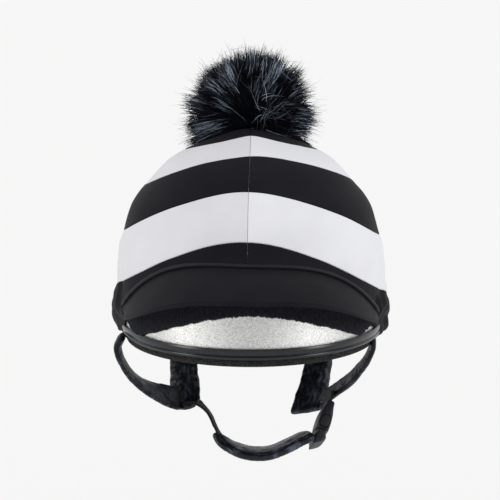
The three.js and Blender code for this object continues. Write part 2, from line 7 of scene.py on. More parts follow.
import bpy
import numpy as np
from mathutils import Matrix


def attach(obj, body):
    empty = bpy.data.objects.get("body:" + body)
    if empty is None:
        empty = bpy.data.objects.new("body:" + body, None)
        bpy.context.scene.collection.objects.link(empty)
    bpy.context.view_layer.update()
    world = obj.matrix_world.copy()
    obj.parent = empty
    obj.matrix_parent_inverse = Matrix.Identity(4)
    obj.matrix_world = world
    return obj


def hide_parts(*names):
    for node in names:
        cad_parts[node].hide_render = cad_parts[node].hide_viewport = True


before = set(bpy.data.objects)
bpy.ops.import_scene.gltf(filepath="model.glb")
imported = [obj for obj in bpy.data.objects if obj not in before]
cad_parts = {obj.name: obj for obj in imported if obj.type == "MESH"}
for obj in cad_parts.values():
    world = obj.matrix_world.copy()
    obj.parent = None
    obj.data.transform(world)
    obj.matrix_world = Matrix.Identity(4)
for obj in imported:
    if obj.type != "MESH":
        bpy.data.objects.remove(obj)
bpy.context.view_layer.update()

Array = np.ndarray
Colour = tuple[float, float, float]
Material = bpy.types.Material
Piece = bpy.types.Object
Socket = bpy.types.NodeSocket

LOG = logging.getLogger("jockey_cap")
MM = 0.001
GIRTH = 96.0  # millimetres round the cover for each radian of turn
UP = np.array([0, 0, 1.0])


class Side(Enum):
    """Which half of the cap a piece is on, as the wearer sees it."""

    RIGHT = -1
    LEFT = 1


class Row(Enum):
    """The five cut pieces of each half of the cover, from the hem to the crown."""

    SKIRT = 0
    WHITE_LOWER = 1
    BLACK_MIDDLE = 2
    WHITE_UPPER = 3
    CROWN = 4


class Part(Enum):
    """The padded parts of the harness, each worn in its own way."""

    FRONT = "front"
    REAR = "rear"
    PAD = "pad"


# Curves and noise


def monotone(xs: Array, ys: Array, x: Array) -> Array:
    """Smooth curve through a table that never overshoots it.

    Cubic pieces whose slope at each row is the harmonic mean of the slopes beside it.

    Args:
        xs: rising table positions.
        ys: table values.
        x: positions wanted.

    Returns:
        The curve's values at x.
    """
    xs, ys, x = np.asarray(xs, float), np.asarray(ys, float), np.asarray(x, float)
    h = np.diff(xs)
    slope = np.diff(ys) / h
    a, b = slope[:-1], slope[1:]
    both = a * b > 0
    inner = np.where(both, 2 * a * b / np.where(both, a + b, 1), 0)
    m = np.concatenate([[slope[0] if len(xs) < 3 else 0], inner, [slope[-1]]])
    i = np.clip(np.searchsorted(xs, x, side="right") - 1, 0, len(h) - 1)
    t = np.clip((x - xs[i]) / h[i], 0, 1)
    return (ys[i] * (1 + 2 * t) * (1 - t) ** 2 + ys[i + 1] * t * t * (3 - 2 * t)
            + h[i] * m[i] * t * (1 - t) ** 2 + h[i] * m[i + 1] * t * t * (t - 1))


def smooth(x: Array, a: float, b: float) -> Array:
    """Ease from 0 at a to 1 at b."""
    t = np.clip((np.asarray(x, float) - a) / (b - a), 0, 1)
    return t * t * (3 - 2 * t)


def quarter(t: Array, floor: float = 0.0) -> Array:
    """Quarter circle from 0 at 0 to 1 at 1, whose square is never less than floor."""
    return np.sqrt(np.clip(1 - (1 - np.clip(t, 0, 1)) ** 2, floor, 1))


def bell(x: Array, middle: float, width: float) -> Array:
    """A bump of height 1: e to minus the square of the distance in widths."""
    return np.exp(-((x - middle) / width) ** 2)


def unit(v: Array) -> Array:
    """Vectors along the last axis, scaled to length 1."""
    return v / np.maximum(np.linalg.norm(v, axis=-1, keepdims=True), 1e-9)


def columns(*parts: Array | float) -> Array:
    """Values broadcast together and put side by side on a new last axis."""
    return np.stack(np.broadcast_arrays(*parts), -1)


def around(count: int) -> Array:
    """Evenly spaced angles of a full turn."""
    return np.linspace(0, 2 * np.pi, count, endpoint=False)


def superellipse(angle: Array, power: float) -> tuple[Array, Array]:
    """Unit superellipse: cosine and sine, each to the power of 2 / power with its sign."""
    return tuple(np.sign(f) * np.abs(f) ** (2 / power) for f in (np.cos(angle), np.sin(angle)))


def ways(points: Array) -> Array:
    """How far along its line each point lies."""
    return np.concatenate([[0], np.cumsum(np.linalg.norm(np.diff(points, axis=0), axis=1))])


def ripple(p: Array, size: float, seed: int, waves: int = 9) -> Array:
    """Soft lumpy noise: a sum of plane waves of about one size in random directions.

    Args:
        p: points, in millimetres, with x, y, z on the last axis.
        size: distance from lump to lump.
        seed: seed of the directions and phases.
        waves: how many waves are summed.

    Returns:
        Values of about -1 to 1, one for each point.
    """
    rng = np.random.default_rng(seed)
    k = unit(rng.normal(size=(waves, 3))) * rng.uniform(0.7, 1.5, (waves, 1)) * 2 * np.pi / size
    phase = rng.uniform(0, 2 * np.pi, waves)
    return np.sin(np.tensordot(p, k.T, axes=1) + phase).sum(-1) / math.sqrt(waves) * 0.8


def ripples(p: Array, *layers: tuple[float, float, int]) -> Array:
    """Sum of ripples, each given by its height, size and seed."""
    return sum(height * ripple(p, size, seed) for height, size, seed in layers)


def along_line(rows: Array, count: int) -> Array:
    """Points on a smooth curve through rows, with the rows' other columns carried along.

    Catmull-Rom pieces over the rows, spaced evenly by their length.

    Args:
        rows: table with x, y, z in its first three columns.
        count: points wanted.

    Returns:
        Array of count rows.
    """
    rows = np.asarray(rows, float)
    padded = np.vstack([2 * rows[0] - rows[1], rows, 2 * rows[-1] - rows[-2]])
    t = np.linspace(0, len(rows) - 1, 40 * len(rows))
    i = np.minimum(t.astype(int), len(rows) - 2)
    f = (t - i)[:, None]
    a, b, c, d = padded[i], padded[i + 1], padded[i + 2], padded[i + 3]
    dense = 0.5 * (2 * b + (c - a) * f + (2 * a - 5 * b + 4 * c - d) * f ** 2
                   + (3 * b - a - 3 * c + d) * f ** 3)
    run = ways(dense[:, :3])
    want = np.linspace(0, run[-1], count)
    return np.stack([np.interp(want, run, column) for column in dense.T], 1)


# Meshes


@dataclass
class Surface:
    """A closed surface as arrays: points in metres, blocks of faces, and "flow" values."""

    points: Array
    faces: list[Array]
    values: Array | None = None

    def outward(self) -> "Surface":
        """The same surface with its faces turned outwards, by the sign of its volume."""
        volume = 0.0
        for block in self.faces:
            a = self.points[block[:, 0]]
            for k in range(1, block.shape[1] - 1):
                b, c = self.points[block[:, k]], self.points[block[:, k + 1]]
                volume += float((a * np.cross(b, c)).sum())
        faces = [block[:, ::-1] for block in self.faces] if volume < 0 else self.faces
        return Surface(self.points, faces, self.values)

    def mesh(self, name: str) -> Piece:
        """Make the Blender object.

        Args:
            name: the object's name.

        Returns:
            The new object, linked to the scene and shaded smooth.
        """
        mesh = bpy.data.meshes.new(name)
        mesh.vertices.add(len(self.points))
        mesh.vertices.foreach_set("co", self.points.ravel())
        loops = np.concatenate([block.ravel() for block in self.faces])
        counts = np.concatenate([np.full(len(block), block.shape[1]) for block in self.faces])
        mesh.loops.add(len(loops))
        mesh.loops.foreach_set("vertex_index", loops)
        mesh.polygons.add(len(counts))
        mesh.polygons.foreach_set("loop_start", np.concatenate([[0], np.cumsum(counts)[:-1]]))
        mesh.update(calc_edges=True)
        mesh.validate()
        mesh.shade_smooth()
        if self.values is not None:
            layer = mesh.attributes.new("flow", "FLOAT_VECTOR", "POINT")
            layer.data.foreach_set("vector", self.values.ravel())
        thing = bpy.data.objects.new(name, mesh)
        bpy.context.collection.objects.link(thing)
        return thing


def together(*surfaces: Surface) -> Surface:
    """Several closed surfaces as one."""
    starts = np.cumsum([0] + [len(part.points) for part in surfaces])
    faces = [block + start for part, start in zip(surfaces, starts) for block in part.faces]
    values = [np.zeros_like(part.points) if part.values is None else part.values
              for part in surfaces]
    points = np.concatenate([part.points for part in surfaces])
    return Surface(points, faces, np.concatenate(values))


def closed(grid: Array, flow: Array | None = None, wrap_u: bool = False,
           wrap_v: bool = True) -> Surface:
    """Surface of quads over a grid of points in millimetres.

    A grid whose rows don't join into a ring is a tube, and fans to the centres of its
    first and last rows close it.

    Args:
        grid: points, shape (rows, columns, 3).
        flow: values kept on the points.
        wrap_u: join the last row to the first.
        wrap_v: join the last column to the first.

    Returns:
        The surface, facing outwards.
    """
    rows, cols = grid.shape[:2]
    points = grid.reshape(-1, 3) * MM
    i = np.arange(rows if wrap_u else rows - 1)[:, None]
    j = np.arange(cols if wrap_v else cols - 1)[None, :]
    i2, j2 = (i + 1) % rows, (j + 1) % cols
    faces = [columns(i * cols + j, i * cols + j2, i2 * cols + j2, i2 * cols + j).reshape(-1, 4)]
    values = None if flow is None else np.array(np.broadcast_to(flow, grid.shape)).reshape(-1, 3)
    if not wrap_u:
        for row, turn in ((0, 1), (rows - 1, -1)):
            a = row * cols + np.arange(cols)
            b = row * cols + (np.arange(cols) + 1) % cols
            faces.append(np.stack([b, a, np.full(cols, len(points))][::turn], -1))
            points = np.vstack([points, grid[row].mean(0)[None] * MM])
            if values is not None:
                values = np.vstack([values, values[a].mean(0)[None]])
    return Surface(points, faces, values).outward()


def there_and_back(outer: Array, inner: Array) -> Array:
    """Rows that run along an outer face and back along an inner one."""
    return np.concatenate([outer, inner[:, ::-1]], 1)


def dress(name: str, surface: Surface, material: Material, slot: str, *nodes: str,
          fill: float | None = None) -> Piece:
    """Make a piece in its finish that rides on the cap and stands for its solids.

    Args:
        name: the piece's name.
        surface: its form.
        material: its finish.
        slot: name of a material slot; not used.
        nodes: the solids that it replaces.
        fill: how full it is, for a padded piece; not used.

    Returns:
        The piece.
    """
    piece = surface.mesh(name)
    piece.data.materials.append(material)
    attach(piece, "root")
    if nodes:
        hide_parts(*nodes)
    LOG.info("%s: %d faces", piece.name, len(piece.data.polygons))
    return piece


# Materials


class Graph:
    """A material's node tree, built by naming each node's inputs."""

    def __init__(self, name: str) -> None:
        """Start an empty material with its output node."""
        self.material = bpy.data.materials.new(name)
        self.material.use_nodes = True
        self.tree = self.material.node_tree
        self.tree.nodes.clear()
        self.output = self.tree.nodes.new("ShaderNodeOutputMaterial")

    def node(self, kind: str, settings: dict | None = None, **inputs) -> bpy.types.Node:
        """Add a node.

        Args:
            kind: the node's type without its ShaderNode prefix.
            settings: properties set on the node.
            inputs: sockets by name, with _ for a space, or by index as in_0; a socket value
                links, anything else is set.

        Returns:
            The node.
        """
        made = self.tree.nodes.new("ShaderNode" + kind)
        for key, value in (settings or {}).items():
            setattr(made, key, value)
        for key, value in inputs.items():
            socket = made.inputs[int(key[3:]) if key.startswith("in_") else key.replace("_", " ")]
            if isinstance(value, Socket):
                self.tree.links.new(value, socket)
            else:
                socket.default_value = value
        return made

    def math(self, operation: str, a: Socket | float, b: Socket | float = 0.0) -> Socket:
        """One step of arithmetic on sockets or numbers."""
        return self.node("Math", {"operation": operation}, in_0=a, in_1=b).outputs[0]

    def mix(self, a: Socket, share: float, b: Socket, rest: float) -> Socket:
        """Sum of two values, each times its share."""
        return self.math("ADD", self.math("MULTIPLY", a, share), self.math("MULTIPLY", b, rest))

    def ramp(self, value: Socket, *stops: tuple[float, Colour]) -> Socket:
        """Colour ramp with the given (position, colour) stops."""
        made = self.node("ValToRGB", None, Fac=value)
        ramp = made.color_ramp
        while len(ramp.elements) < len(stops):
            ramp.elements.new(0.5)
        for element, (position, colour) in zip(ramp.elements, stops):
            element.position = position
            element.color = (*colour, 1.0)
        return made.outputs["Color"]

    def span(self, value: Socket, low: float, high: float, full: float = 1.0) -> Socket:
        """A value that runs from 0 to full, brought to run from low to high."""
        return self.node("MapRange", None, Value=value, From_Max=full, To_Min=low,
                         To_Max=high).outputs[0]

    def place(self, scale: float = 1.0) -> Socket:
        """Object coordinates in metres, scaled."""
        source = self.node("TexCoord").outputs["Object"]
        return self.node("Mapping", None, Vector=source, Scale=(scale,) * 3).outputs[0]

    def flow(self, *scale: float) -> Socket:
        """The "flow" attribute, scaled on each axis."""
        source = self.node("Attribute", {"attribute_name": "flow"}).outputs["Vector"]
        return self.node("Mapping", None, Vector=source, Scale=scale).outputs[0]

    def noise(self, where: Socket, scale: float, detail: float = 3.0) -> Socket:
        """Noise of 0 to 1."""
        return self.node("TexNoise", None, Vector=where, Scale=scale, Detail=detail).outputs["Fac"]

    def wave(self, where: Socket, direction: str, **inputs: float) -> Socket:
        """Parallel bands of 0 to 1."""
        settings = {"wave_type": "BANDS", "bands_direction": direction}
        return self.node("TexWave", settings, Vector=where, **inputs).outputs["Fac"]

    def cells(self, where: Socket, scale: float, feature: str = "F1",
              output: str = "Distance") -> Socket:
        """Voronoi cells: a distance in each, or its colour."""
        made = self.node("TexVoronoi", {"feature": feature}, Vector=where, Scale=scale)
        return made.outputs[output]

    def bump(self, height: Socket, strength: float, distance: float,
             below: Socket | None = None) -> Socket:
        """Bump from a height, on top of another bump if one is given."""
        made = self.node("Bump", None, Height=height, Strength=strength, Distance=distance)
        if below is not None:
            self.tree.links.new(below, made.inputs["Normal"])
        return made.outputs[0]

    def surface(self, **inputs) -> Material:
        """Close the graph with a Principled shader and give the material."""
        shader = self.node("BsdfPrincipled", None, **inputs)
        self.tree.links.new(shader.outputs[0], self.output.inputs["Surface"])
        return self.material


@dataclass(frozen=True)
class StretchKnit:
    """Four-way stretch jersey: fine ribs of the knit, a soft sheen, slightly uneven dye."""

    name: str
    dark: Colour
    light: Colour
    sheen: float
    rough: float = 0.6
    gloss: float = 0.05
    stitch_mm: float = 0.55

    def build(self) -> Material:
        """Knit loops one stitch apart, with diagonal wales and a cloudy dye."""
        g = Graph(self.name)
        where = g.place(1 / (self.stitch_mm * MM))
        wales = g.wave(where, "DIAGONAL", Scale=0.16, Distortion=1.5, Detail=1.0)
        loops = g.cells(where, 1.0)
        dye = g.mix(g.noise(g.place(), 55.0, 4.0), 0.7, loops, 0.3)
        fine = g.bump(g.math("ADD", wales, loops), 0.22, 0.00012)
        soft = g.bump(g.noise(g.place(), 140.0), 0.12, 0.0004, fine)
        return g.surface(Base_Color=g.ramp(dye, (0.25, self.dark), (0.75, self.light)),
                         Roughness=self.rough, Normal=soft, Sheen_Weight=self.sheen,
                         Sheen_Roughness=0.45, Specular_IOR_Level=self.gloss)


@dataclass(frozen=True)
class FleckedShell:
    """Silver lacquer with fine flake under a clear coat."""

    base: Colour = (0.33, 0.33, 0.33)
    bright: Colour = (0.74, 0.74, 0.73)
    lit: Colour = (0.50, 0.50, 0.48)
    glint: Colour = (1.0, 0.995, 0.975)
    flakes: float = 2700.0
    # painted reflection: how far each facing weight takes the base colour to the lit tone
    painted_highlight_stops: tuple = ((0.0, 0.06), (0.05, 0.3), (0.14, 1.0), (0.26, 0.9), (0.5, 0.45))

    def build(self) -> Material:
        """Each flake is a Voronoi cell of its own tone and tilt.

        A facing weight blends the dull tone into the lit one a little off square to the eye:
        painted reflections of the side lights, as a bright band on each side of the front.
        """
        g = Graph("silver_flake")
        where = g.place()
        cell = g.cells(where, self.flakes, output="Color")
        tone = g.node("SeparateColor", None, Color=cell).outputs[0]
        broad = g.noise(where, 1100.0)
        mixed = g.mix(tone, 0.85, broad, 0.15)
        dull = g.ramp(mixed, (0.1, self.base), (0.9, self.bright))
        lit = g.ramp(mixed, (0.1, self.lit), (0.8, self.glint))
        # painted reflection of the side lights: lit tone a little off square to the eye, dull tone
        # square on and at the edges
        facing = g.node("LayerWeight", None, Blend=0.5).outputs["Facing"]
        share = g.ramp(facing, *((at, (much,) * 3) for at, much in self.painted_highlight_stops))
        blend = g.node("Mix", {"data_type": "RGBA"}, in_0=share, in_6=dull, in_7=lit)
        tilt = g.bump(g.math("ADD", tone, broad), 0.5, 0.00012)
        return g.surface(Base_Color=blend.outputs[2], Roughness=g.span(mixed, 0.27, 0.38),
                         Metallic=0.88, Normal=tilt, Coat_Weight=0.2, Coat_Roughness=0.3)


@dataclass(frozen=True)
class SatinRubber:
    """Extruded rubber edging with a satin skin and faint drag lines."""

    dark: Colour = (0.0060, 0.0078, 0.0110)
    light: Colour = (0.0120, 0.0145, 0.0190)

    def build(self) -> Material:
        """Drag lines run with the extrusion, so the noise is stretched along flow x."""
        g = Graph("trim_rubber")
        lines = g.noise(g.flow(0.006, 1.6, 1.0), 1.0)
        dust = g.noise(g.place(), 260.0, 2.0)
        colour = g.ramp(g.mix(lines, 0.5, dust, 0.5), (0.3, self.dark), (0.7, self.light))
        return g.surface(Base_Color=colour, Roughness=g.span(dust, 0.2, 0.28),
                         Normal=g.bump(lines, 0.08, 0.0001), Specular_IOR_Level=0.38)


@dataclass(frozen=True)
class RibbedPlush:
    """Brushed elastic: near black pile with grey fibres along its ribs."""

    dark: Colour = (0.006, 0.006, 0.009)
    light: Colour = (0.026, 0.028, 0.036)
    pitch_mm: float = 1.3

    def build(self) -> Material:
        """Fibres follow the ribs, so the noise is short along flow x and long along flow y."""
        g = Graph("ribbed_plush")
        fibre = g.noise(g.flow(1.6 / self.pitch_mm, 0.35, 0.3), 1.0, 4.0)
        pile = g.mix(fibre, 0.45, g.noise(g.place(), 1300.0, 4.0), 0.55)
        return g.surface(Base_Color=g.ramp(pile, (0.44, self.dark), (0.7, self.light)),
                         Roughness=0.95, Sheen_Weight=0.08, Sheen_Roughness=0.5,
                         Normal=g.bump(pile, 0.8, 0.0005), Specular_IOR_Level=0.05)


@dataclass(frozen=True)
class LiningTextile:
    """Coarse black warp-knit lining with an open mesh."""

    dark: Colour = (0.0065, 0.0062, 0.0062)
    light: Colour = (0.052, 0.050, 0.049)
    cells_a_metre: float = 900.0

    def build(self) -> Material:
        """Small cells of about a millimetre, lighter on their rims."""
        g = Graph("lining_textile")
        cell = g.cells(g.place(), self.cells_a_metre, "DISTANCE_TO_EDGE")
        rim = g.math("SUBTRACT", 1.0, g.math("MULTIPLY", cell, 3.0))
        mesh = g.mix(rim, 0.5, g.noise(g.place(), 300.0, 4.0), 0.5)
        return g.surface(Base_Color=g.ramp(mesh, (0.42, self.dark), (0.85, self.light)),
                         Roughness=0.92, Sheen_Weight=0.05, Normal=g.bump(mesh, 0.8, 0.0006),
                         Specular_IOR_Level=0.1)


@dataclass(frozen=True)
class FurFinish:
    """Faux fur: each strand carries its own tone, from blue-black to pale grey, holding painted
    shade and highlights.
    """

    # darkest tone, on the strand roots and the heart: painted shade deep in the fur
    root: Colour = (0.0028, 0.0030, 0.0045)
    low: Colour = (0.009, 0.011, 0.017)
    mid: Colour = (0.105, 0.135, 0.185)
    tip: Colour = (0.58, 0.68, 0.82)

    def build(self) -> Material:
        """flow x is the tone; a fine fleck varies it along the strand."""
        g = Graph("fur")
        flow = g.node("Attribute", {"attribute_name": "flow"}).outputs["Vector"]
        tone = g.node("SeparateXYZ", None, Vector=flow).outputs[0]
        fleck = g.math("MULTIPLY", g.noise(g.place(), 420.0, 2.0), 0.7)
        value = g.math("MULTIPLY", tone, g.math("ADD", 0.65, fleck))
        colour = g.ramp(value, (0.0, self.root), (0.16, self.low), (0.45, self.mid),
                        (1.0, self.tip))
        return g.surface(Base_Color=colour, Roughness=0.42,
                         Specular_IOR_Level=g.span(value, 0.0, 0.4, 0.5))


@dataclass(frozen=True)
class Leatherette:
    """Soft coated cloth, finely wrinkled, with a waxy shine and painted highlights on its fold
    crests.
    """

    name: str
    gloss: float
    crest_highlight: Colour
    dark: Colour = (0.0045, 0.0050, 0.0080)
    light: Colour = (0.0110, 0.0125, 0.0190)

    def build(self) -> Material:
        """Wrinkles of three sizes: folds, creases and grain. Fold crests are painted pale, as
        highlights.
        """
        g = Graph(self.name)
        where = g.place()
        folds = g.noise(where, 95.0)
        crease = g.node("TexNoise", {"noise_type": "RIDGED_MULTIFRACTAL"}, Vector=where,
                        Scale=160.0, Detail=4.0, Roughness=0.55).outputs["Fac"]
        grain = g.cells(where, 1400.0, "DISTANCE_TO_EDGE")
        wrinkled = g.bump(folds, 0.8, 0.0034, g.bump(crease, 0.35, 0.0008))
        streaks = g.noise(g.flow(0.14, 0.5, 0.3), 1.0, 2.0)
        highlight_mask = g.mix(folds, 0.35, streaks, 0.65)
        # painted highlight: streaks of pale colour along the fold crests
        colour = g.ramp(highlight_mask, (0.36, self.dark), (0.52, self.light), (0.66, self.crest_highlight))
        return g.surface(Base_Color=colour, Roughness=g.span(folds, 0.26, 0.42),
                         Normal=g.bump(grain, 0.12, 0.0001, wrinkled),
                         Specular_IOR_Level=self.gloss)


@dataclass(frozen=True)
class WovenStrap:
    """Flat woven webbing with a herringbone face."""

    dark: Colour = (0.005, 0.005, 0.0075)
    light: Colour = (0.020, 0.020, 0.026)

    def build(self) -> Material:
        """Diagonal yarns in flow x, along, and flow y, across, both in millimetres."""
        g = Graph("strap_webbing")
        yarn = g.wave(g.flow(1, 1, 0), "DIAGONAL", Scale=0.42, Distortion=0.6, Detail=1.0)
        weave = g.mix(yarn, 0.6, g.wave(g.flow(1, 1, 0), "Y", Scale=0.3), 0.4)
        return g.surface(Base_Color=g.ramp(weave, (0.2, self.dark), (0.9, self.light)),
                         Roughness=0.68, Normal=g.bump(weave, 0.5, 0.0004),
                         Sheen_Weight=0.05, Specular_IOR_Level=0.12)


@dataclass(frozen=True)
class Thread:
    """Twisted bonded thread, as dark as what it sews."""

    dark: Colour = (0.006, 0.006, 0.009)
    light: Colour = (0.020, 0.021, 0.027)

    def build(self) -> Material:
        """The twist is a fine wave over the thread, in millimetres."""
        g = Graph("thread")
        twist = g.wave(g.place(1 / MM), "DIAGONAL", Scale=0.9, Distortion=0.5)
        return g.surface(Base_Color=g.ramp(twist, (0.2, self.dark), (0.8, self.light)),
                         Roughness=0.5, Normal=g.bump(twist, 0.3, 0.00008),
                         Specular_IOR_Level=0.15)


@dataclass(frozen=True)
class MouldedPlastic:
    """Acetal with a fine spark-eroded texture, a little polished here and there."""

    dark: Colour = (0.0125, 0.0118, 0.0155)
    light: Colour = (0.0225, 0.0215, 0.0275)

    def build(self) -> Material:
        """Grain of a few tenths of a millimetre under patches of wear."""
        g = Graph("buckle_plastic")
        wear = g.noise(g.place(), 160.0, 4.0)
        grain = g.bump(g.noise(g.place(), 2600.0), 0.3, 0.00012)
        return g.surface(Base_Color=g.ramp(wear, (0.3, self.dark), (0.7, self.light)),
                         Roughness=g.span(wear, 0.36, 0.52), Normal=grain,
                         Specular_IOR_Level=0.16)


# Forms


@dataclass(frozen=True)
class Dome:
    """A helmet's dome: ellipses in plan whose width follows a profile table."""

    half: float
    front: float
    back: float
    height: float
    ups: tuple[float, ...]
    wides: tuple[float, ...]

    def share(self, up: Array) -> Array:
        """Share of the full width at a share of the height; 1 below the rim plane."""
        square = monotone(self.ups, np.square(self.wides), np.clip(up, 0, 1))
        return np.sqrt(np.clip(square, 0, 1))

    def point(self, turn: Array, up: Array, inset: Array | float = 0.0) -> Array:
        """Points of the dome.

        x is the half width times the sine of the turn, y the half length times its cosine,
        each times the profile's share, and z the height's share.

        Args:
            turn: angle from the front, in radians.
            up: share of the height.
            inset: distance inwards from the outer face.

        Returns:
            Points, with x, y, z on the last axis.
        """
        turn, up = np.broadcast_arrays(turn, up)
        wide = self.share(up)
        reach = np.where(np.cos(turn) > 0, self.front, self.back)
        return columns((self.half - inset) * wide * np.sin(turn),
                       -(reach - inset) * wide * np.cos(turn), up * (self.height - inset))


SHELL = Dome(
    half=91.5, front=113.5, back=118.0, height=140.5,
    ups=(0, 0.22, 0.43, 0.489, 0.623, 0.683, 0.748, 0.857, 0.924, 0.97, 1),
    wides=(1, 1, 0.977, 0.963, 0.899, 0.845, 0.757, 0.6, 0.425, 0.24, 0))
COVER = Dome(
    half=96.5, front=118.0, back=123.0, height=143.5,
    ups=(0, 0.216, 0.425, 0.481, 0.613, 0.672, 0.736, 0.843, 0.909, 0.965, 1),
    wides=(1, 1, 0.978, 0.949, 0.891, 0.841, 0.759, 0.611, 0.442, 0.233, 0))


@dataclass
class StretchCover:
    """The two-half stretch cover: five pieces a side, seamed, with a loose skirt."""

    fabric: float = 1.2
    seam_gap: float = 0.24
    seam_round: float = 0.9
    hem_drop: float = 2.0
    puff: float = 3.0
    lean: float = 2.4
    tuck_depth: float = 3.5
    peak_end: float = math.radians(67)
    skirt_turn: float = math.radians(15)
    stripes: dict = field(default_factory=lambda: {
        # share of the way up in front and behind, bend between them, tilt to one side
        Row.SKIRT: (0.374, 0.119, 3.75, -0.014), Row.WHITE_LOWER: (0.559, 0.3, 3.25, -0.008),
        Row.BLACK_MIDDLE: (0.74, 0.481, 2.28, 0.012), Row.WHITE_UPPER: (0.903, 0.663, 1.82, 0.0),
    })
    folds: tuple = (
        # turn in degrees and way up at each end, width, height
        (-73, 40, -77, 8, 3.4, 1.5), (-86, 26, -90, 6, 5.0, 1.3), (-101, 24, -97, 2, 4.5, 1.0),
        (68, 27, 74, 3, 2.6, 1.8), (74, 36, 80, 12, 3.0, 1.6), (81, 18, 88, 0, 2.6, 1.9),
        (88, 30, 92, 14, 3.4, 1.2), (97, 22, 102, 4, 4.6, 1.2), (112, 22, 120, 0, 6.0, 1.3),
        (-112, 22, -121, 0, 6.0, 1.3), (140, 20, 146, 0, 6.0, 1.1),
        (-141, 22, -148, 0, 6.0, 1.1), (166, 18, 170, 0, 6.5, 1.0), (-168, 18, -173, 0, 6.5, 1.0))
    arc_ups: Array = field(init=False)
    arcs: Array = field(init=False)

    def __post_init__(self) -> None:
        """Measure the way from the rim to the apex along the front centre line."""
        self.arc_ups = np.sin(np.linspace(0, np.pi / 2, 1200))
        rho = COVER.share(self.arc_ups)
        steps = np.hypot(np.diff(self.arc_ups) * COVER.height, np.diff(rho) * COVER.front)
        self.arcs = np.concatenate([[0], np.cumsum(steps)])

    @property
    def full(self) -> float:
        """The whole way from rim to apex."""
        return float(self.arcs[-1])

    def up_at(self, arc: Array) -> Array:
        """Share of the height at a way up the cover."""
        return np.where(arc < 0, arc / COVER.height, np.interp(arc, self.arcs, self.arc_ups))

    def seam_arc(self, turn: Array) -> Array:
        """The peak's seam: highest in front, falling away to the sides."""
        return self.full * (0.298 - 0.262 * np.abs(np.sin(turn)) ** 3.7 - 0.0135 * np.sin(turn))

    def stripe_arc(self, row: Row, turn: Array) -> Array:
        """Upper seam of a row: level behind and pulled up in front."""
        front, back, bend, roll = self.stripes[row]
        blend = ((1 + np.cos(turn)) / 2) ** bend
        return self.full * (back + (front - back) * blend + roll * np.sin(turn))

    def skirt_low(self, turn: Array) -> Array:
        """Lower edge of the skirt: the peak's seam, then down to the hem."""
        spread = np.where(turn < 0, 1.0, 0.5) * self.skirt_turn
        lift = (1 - np.clip((np.abs(turn) - self.peak_end) / spread, 0, 1)) ** 1.6
        fall = 1 - smooth(np.abs(turn), self.peak_end, math.radians(94))
        hem = -self.hem_drop + np.where(turn < 0, 5.0, 0.0) * fall
        return hem + (self.seam_arc(turn) - hem) * lift

    def edges(self, row: Row, turn: Array) -> tuple[Array, Array]:
        """Lower and upper edge of a row, as ways up the cover."""
        if row is Row.SKIRT:
            low = self.skirt_low(turn)
        else:
            low = self.stripe_arc(Row(row.value - 1), turn)
        high = np.full_like(low, self.full) if row is Row.CROWN else self.stripe_arc(row, turn)
        return low, high

    def tuck(self, turn: Array, arc: Array) -> Array:
        """Share by which the skirt's front corners are drawn in to the shell."""
        beside = (1 - smooth(np.abs(turn), 1.30, 1.58)) * smooth(np.abs(turn), 1.12, 1.19)
        return beside * (1 - smooth(arc, 9, 22))

    def relief(self, turn: Array, arc: Array) -> Array:
        """How far the cloth stands off: drape, pulls at the seams and skirt folds.

        Args:
            turn: angle from the front.
            arc: way up the cover, in millimetres.

        Returns:
            Distance outwards, in millimetres.
        """
        base = COVER.point(turn, self.up_at(arc))
        low = 1 - smooth(arc, 12, 46)
        side = smooth(np.abs(np.sin(turn)), 0.55, 0.95)
        out = ripples(base, (0.16, 46, 3), (0.05, 13, 5))
        out = out + low * (0.45 * ripple(base * np.array([1, 1, 0.5]), 26, 11)
                           + side * 0.5 * ripple(base * np.array([1, 1, 1.4]), 15, 17))
        for t0, a0, t1, a1, wide, high in self.folds:
            start = math.radians(t0) * GIRTH
            dx, dy = math.radians(t1) * GIRTH - start, a1 - a0
            x, y = turn * GIRTH - start, arc - a0
            s = np.clip((x * dx + y * dy) / (dx * dx + dy * dy), 0, 1)
            gap = np.hypot(x - s * dx, y - s * dy)
            out = out + high * (bell(gap, 0, wide) - 0.35 * bell(gap, 1.9 * wide, wide))
        near = np.abs(turn) < self.peak_end + 0.02
        above = arc - self.seam_arc(turn)
        bead = np.where(near, 0.9 * bell(np.maximum(above, 0), 0, 2.6), 0.0)
        calm = 1 - 0.75 * np.where(near, bell(above, 0, 3.0), 0.0)
        tuck = self.tuck(turn, arc)
        return out * calm * (1 - 0.8 * tuck) + bead - self.tuck_depth * tuck

    def place(self, turn: Array, arc: Array, inset: Array | float) -> Array:
        """A point of the cover, inset inwards from its outer face, with folds and puff."""
        point = COVER.point(turn, self.up_at(arc), inset)
        lean = self.lean * np.abs(np.cos(turn)) ** 3 * np.sign(np.cos(turn))
        point[..., 0] -= lean * (1 - smooth(arc, 0.3 * self.full, self.full))
        low = arc / COVER.height
        wane = smooth(low - 0.1, 0, np.where(turn < 0, 0.15, 0.09))
        puff = (self.puff * smooth(np.abs(np.sin(turn)), 0.9, 1) * (1 - wane)
                * smooth(low, -0.035, 0.085) * (1 - self.tuck(turn, arc)))
        point[..., 0] += puff * np.sign(np.sin(turn))
        centre = np.array([0.0, 0.0, 45.0])
        out = unit((point - centre) * np.array([1.3, 1.0, 1.0]))
        high = smooth(point[..., 2], 60, 110)[..., None]
        out = unit(out * (1 - UP) * (1 - high) + out * high)
        return point + out * self.relief(turn, arc)[..., None]

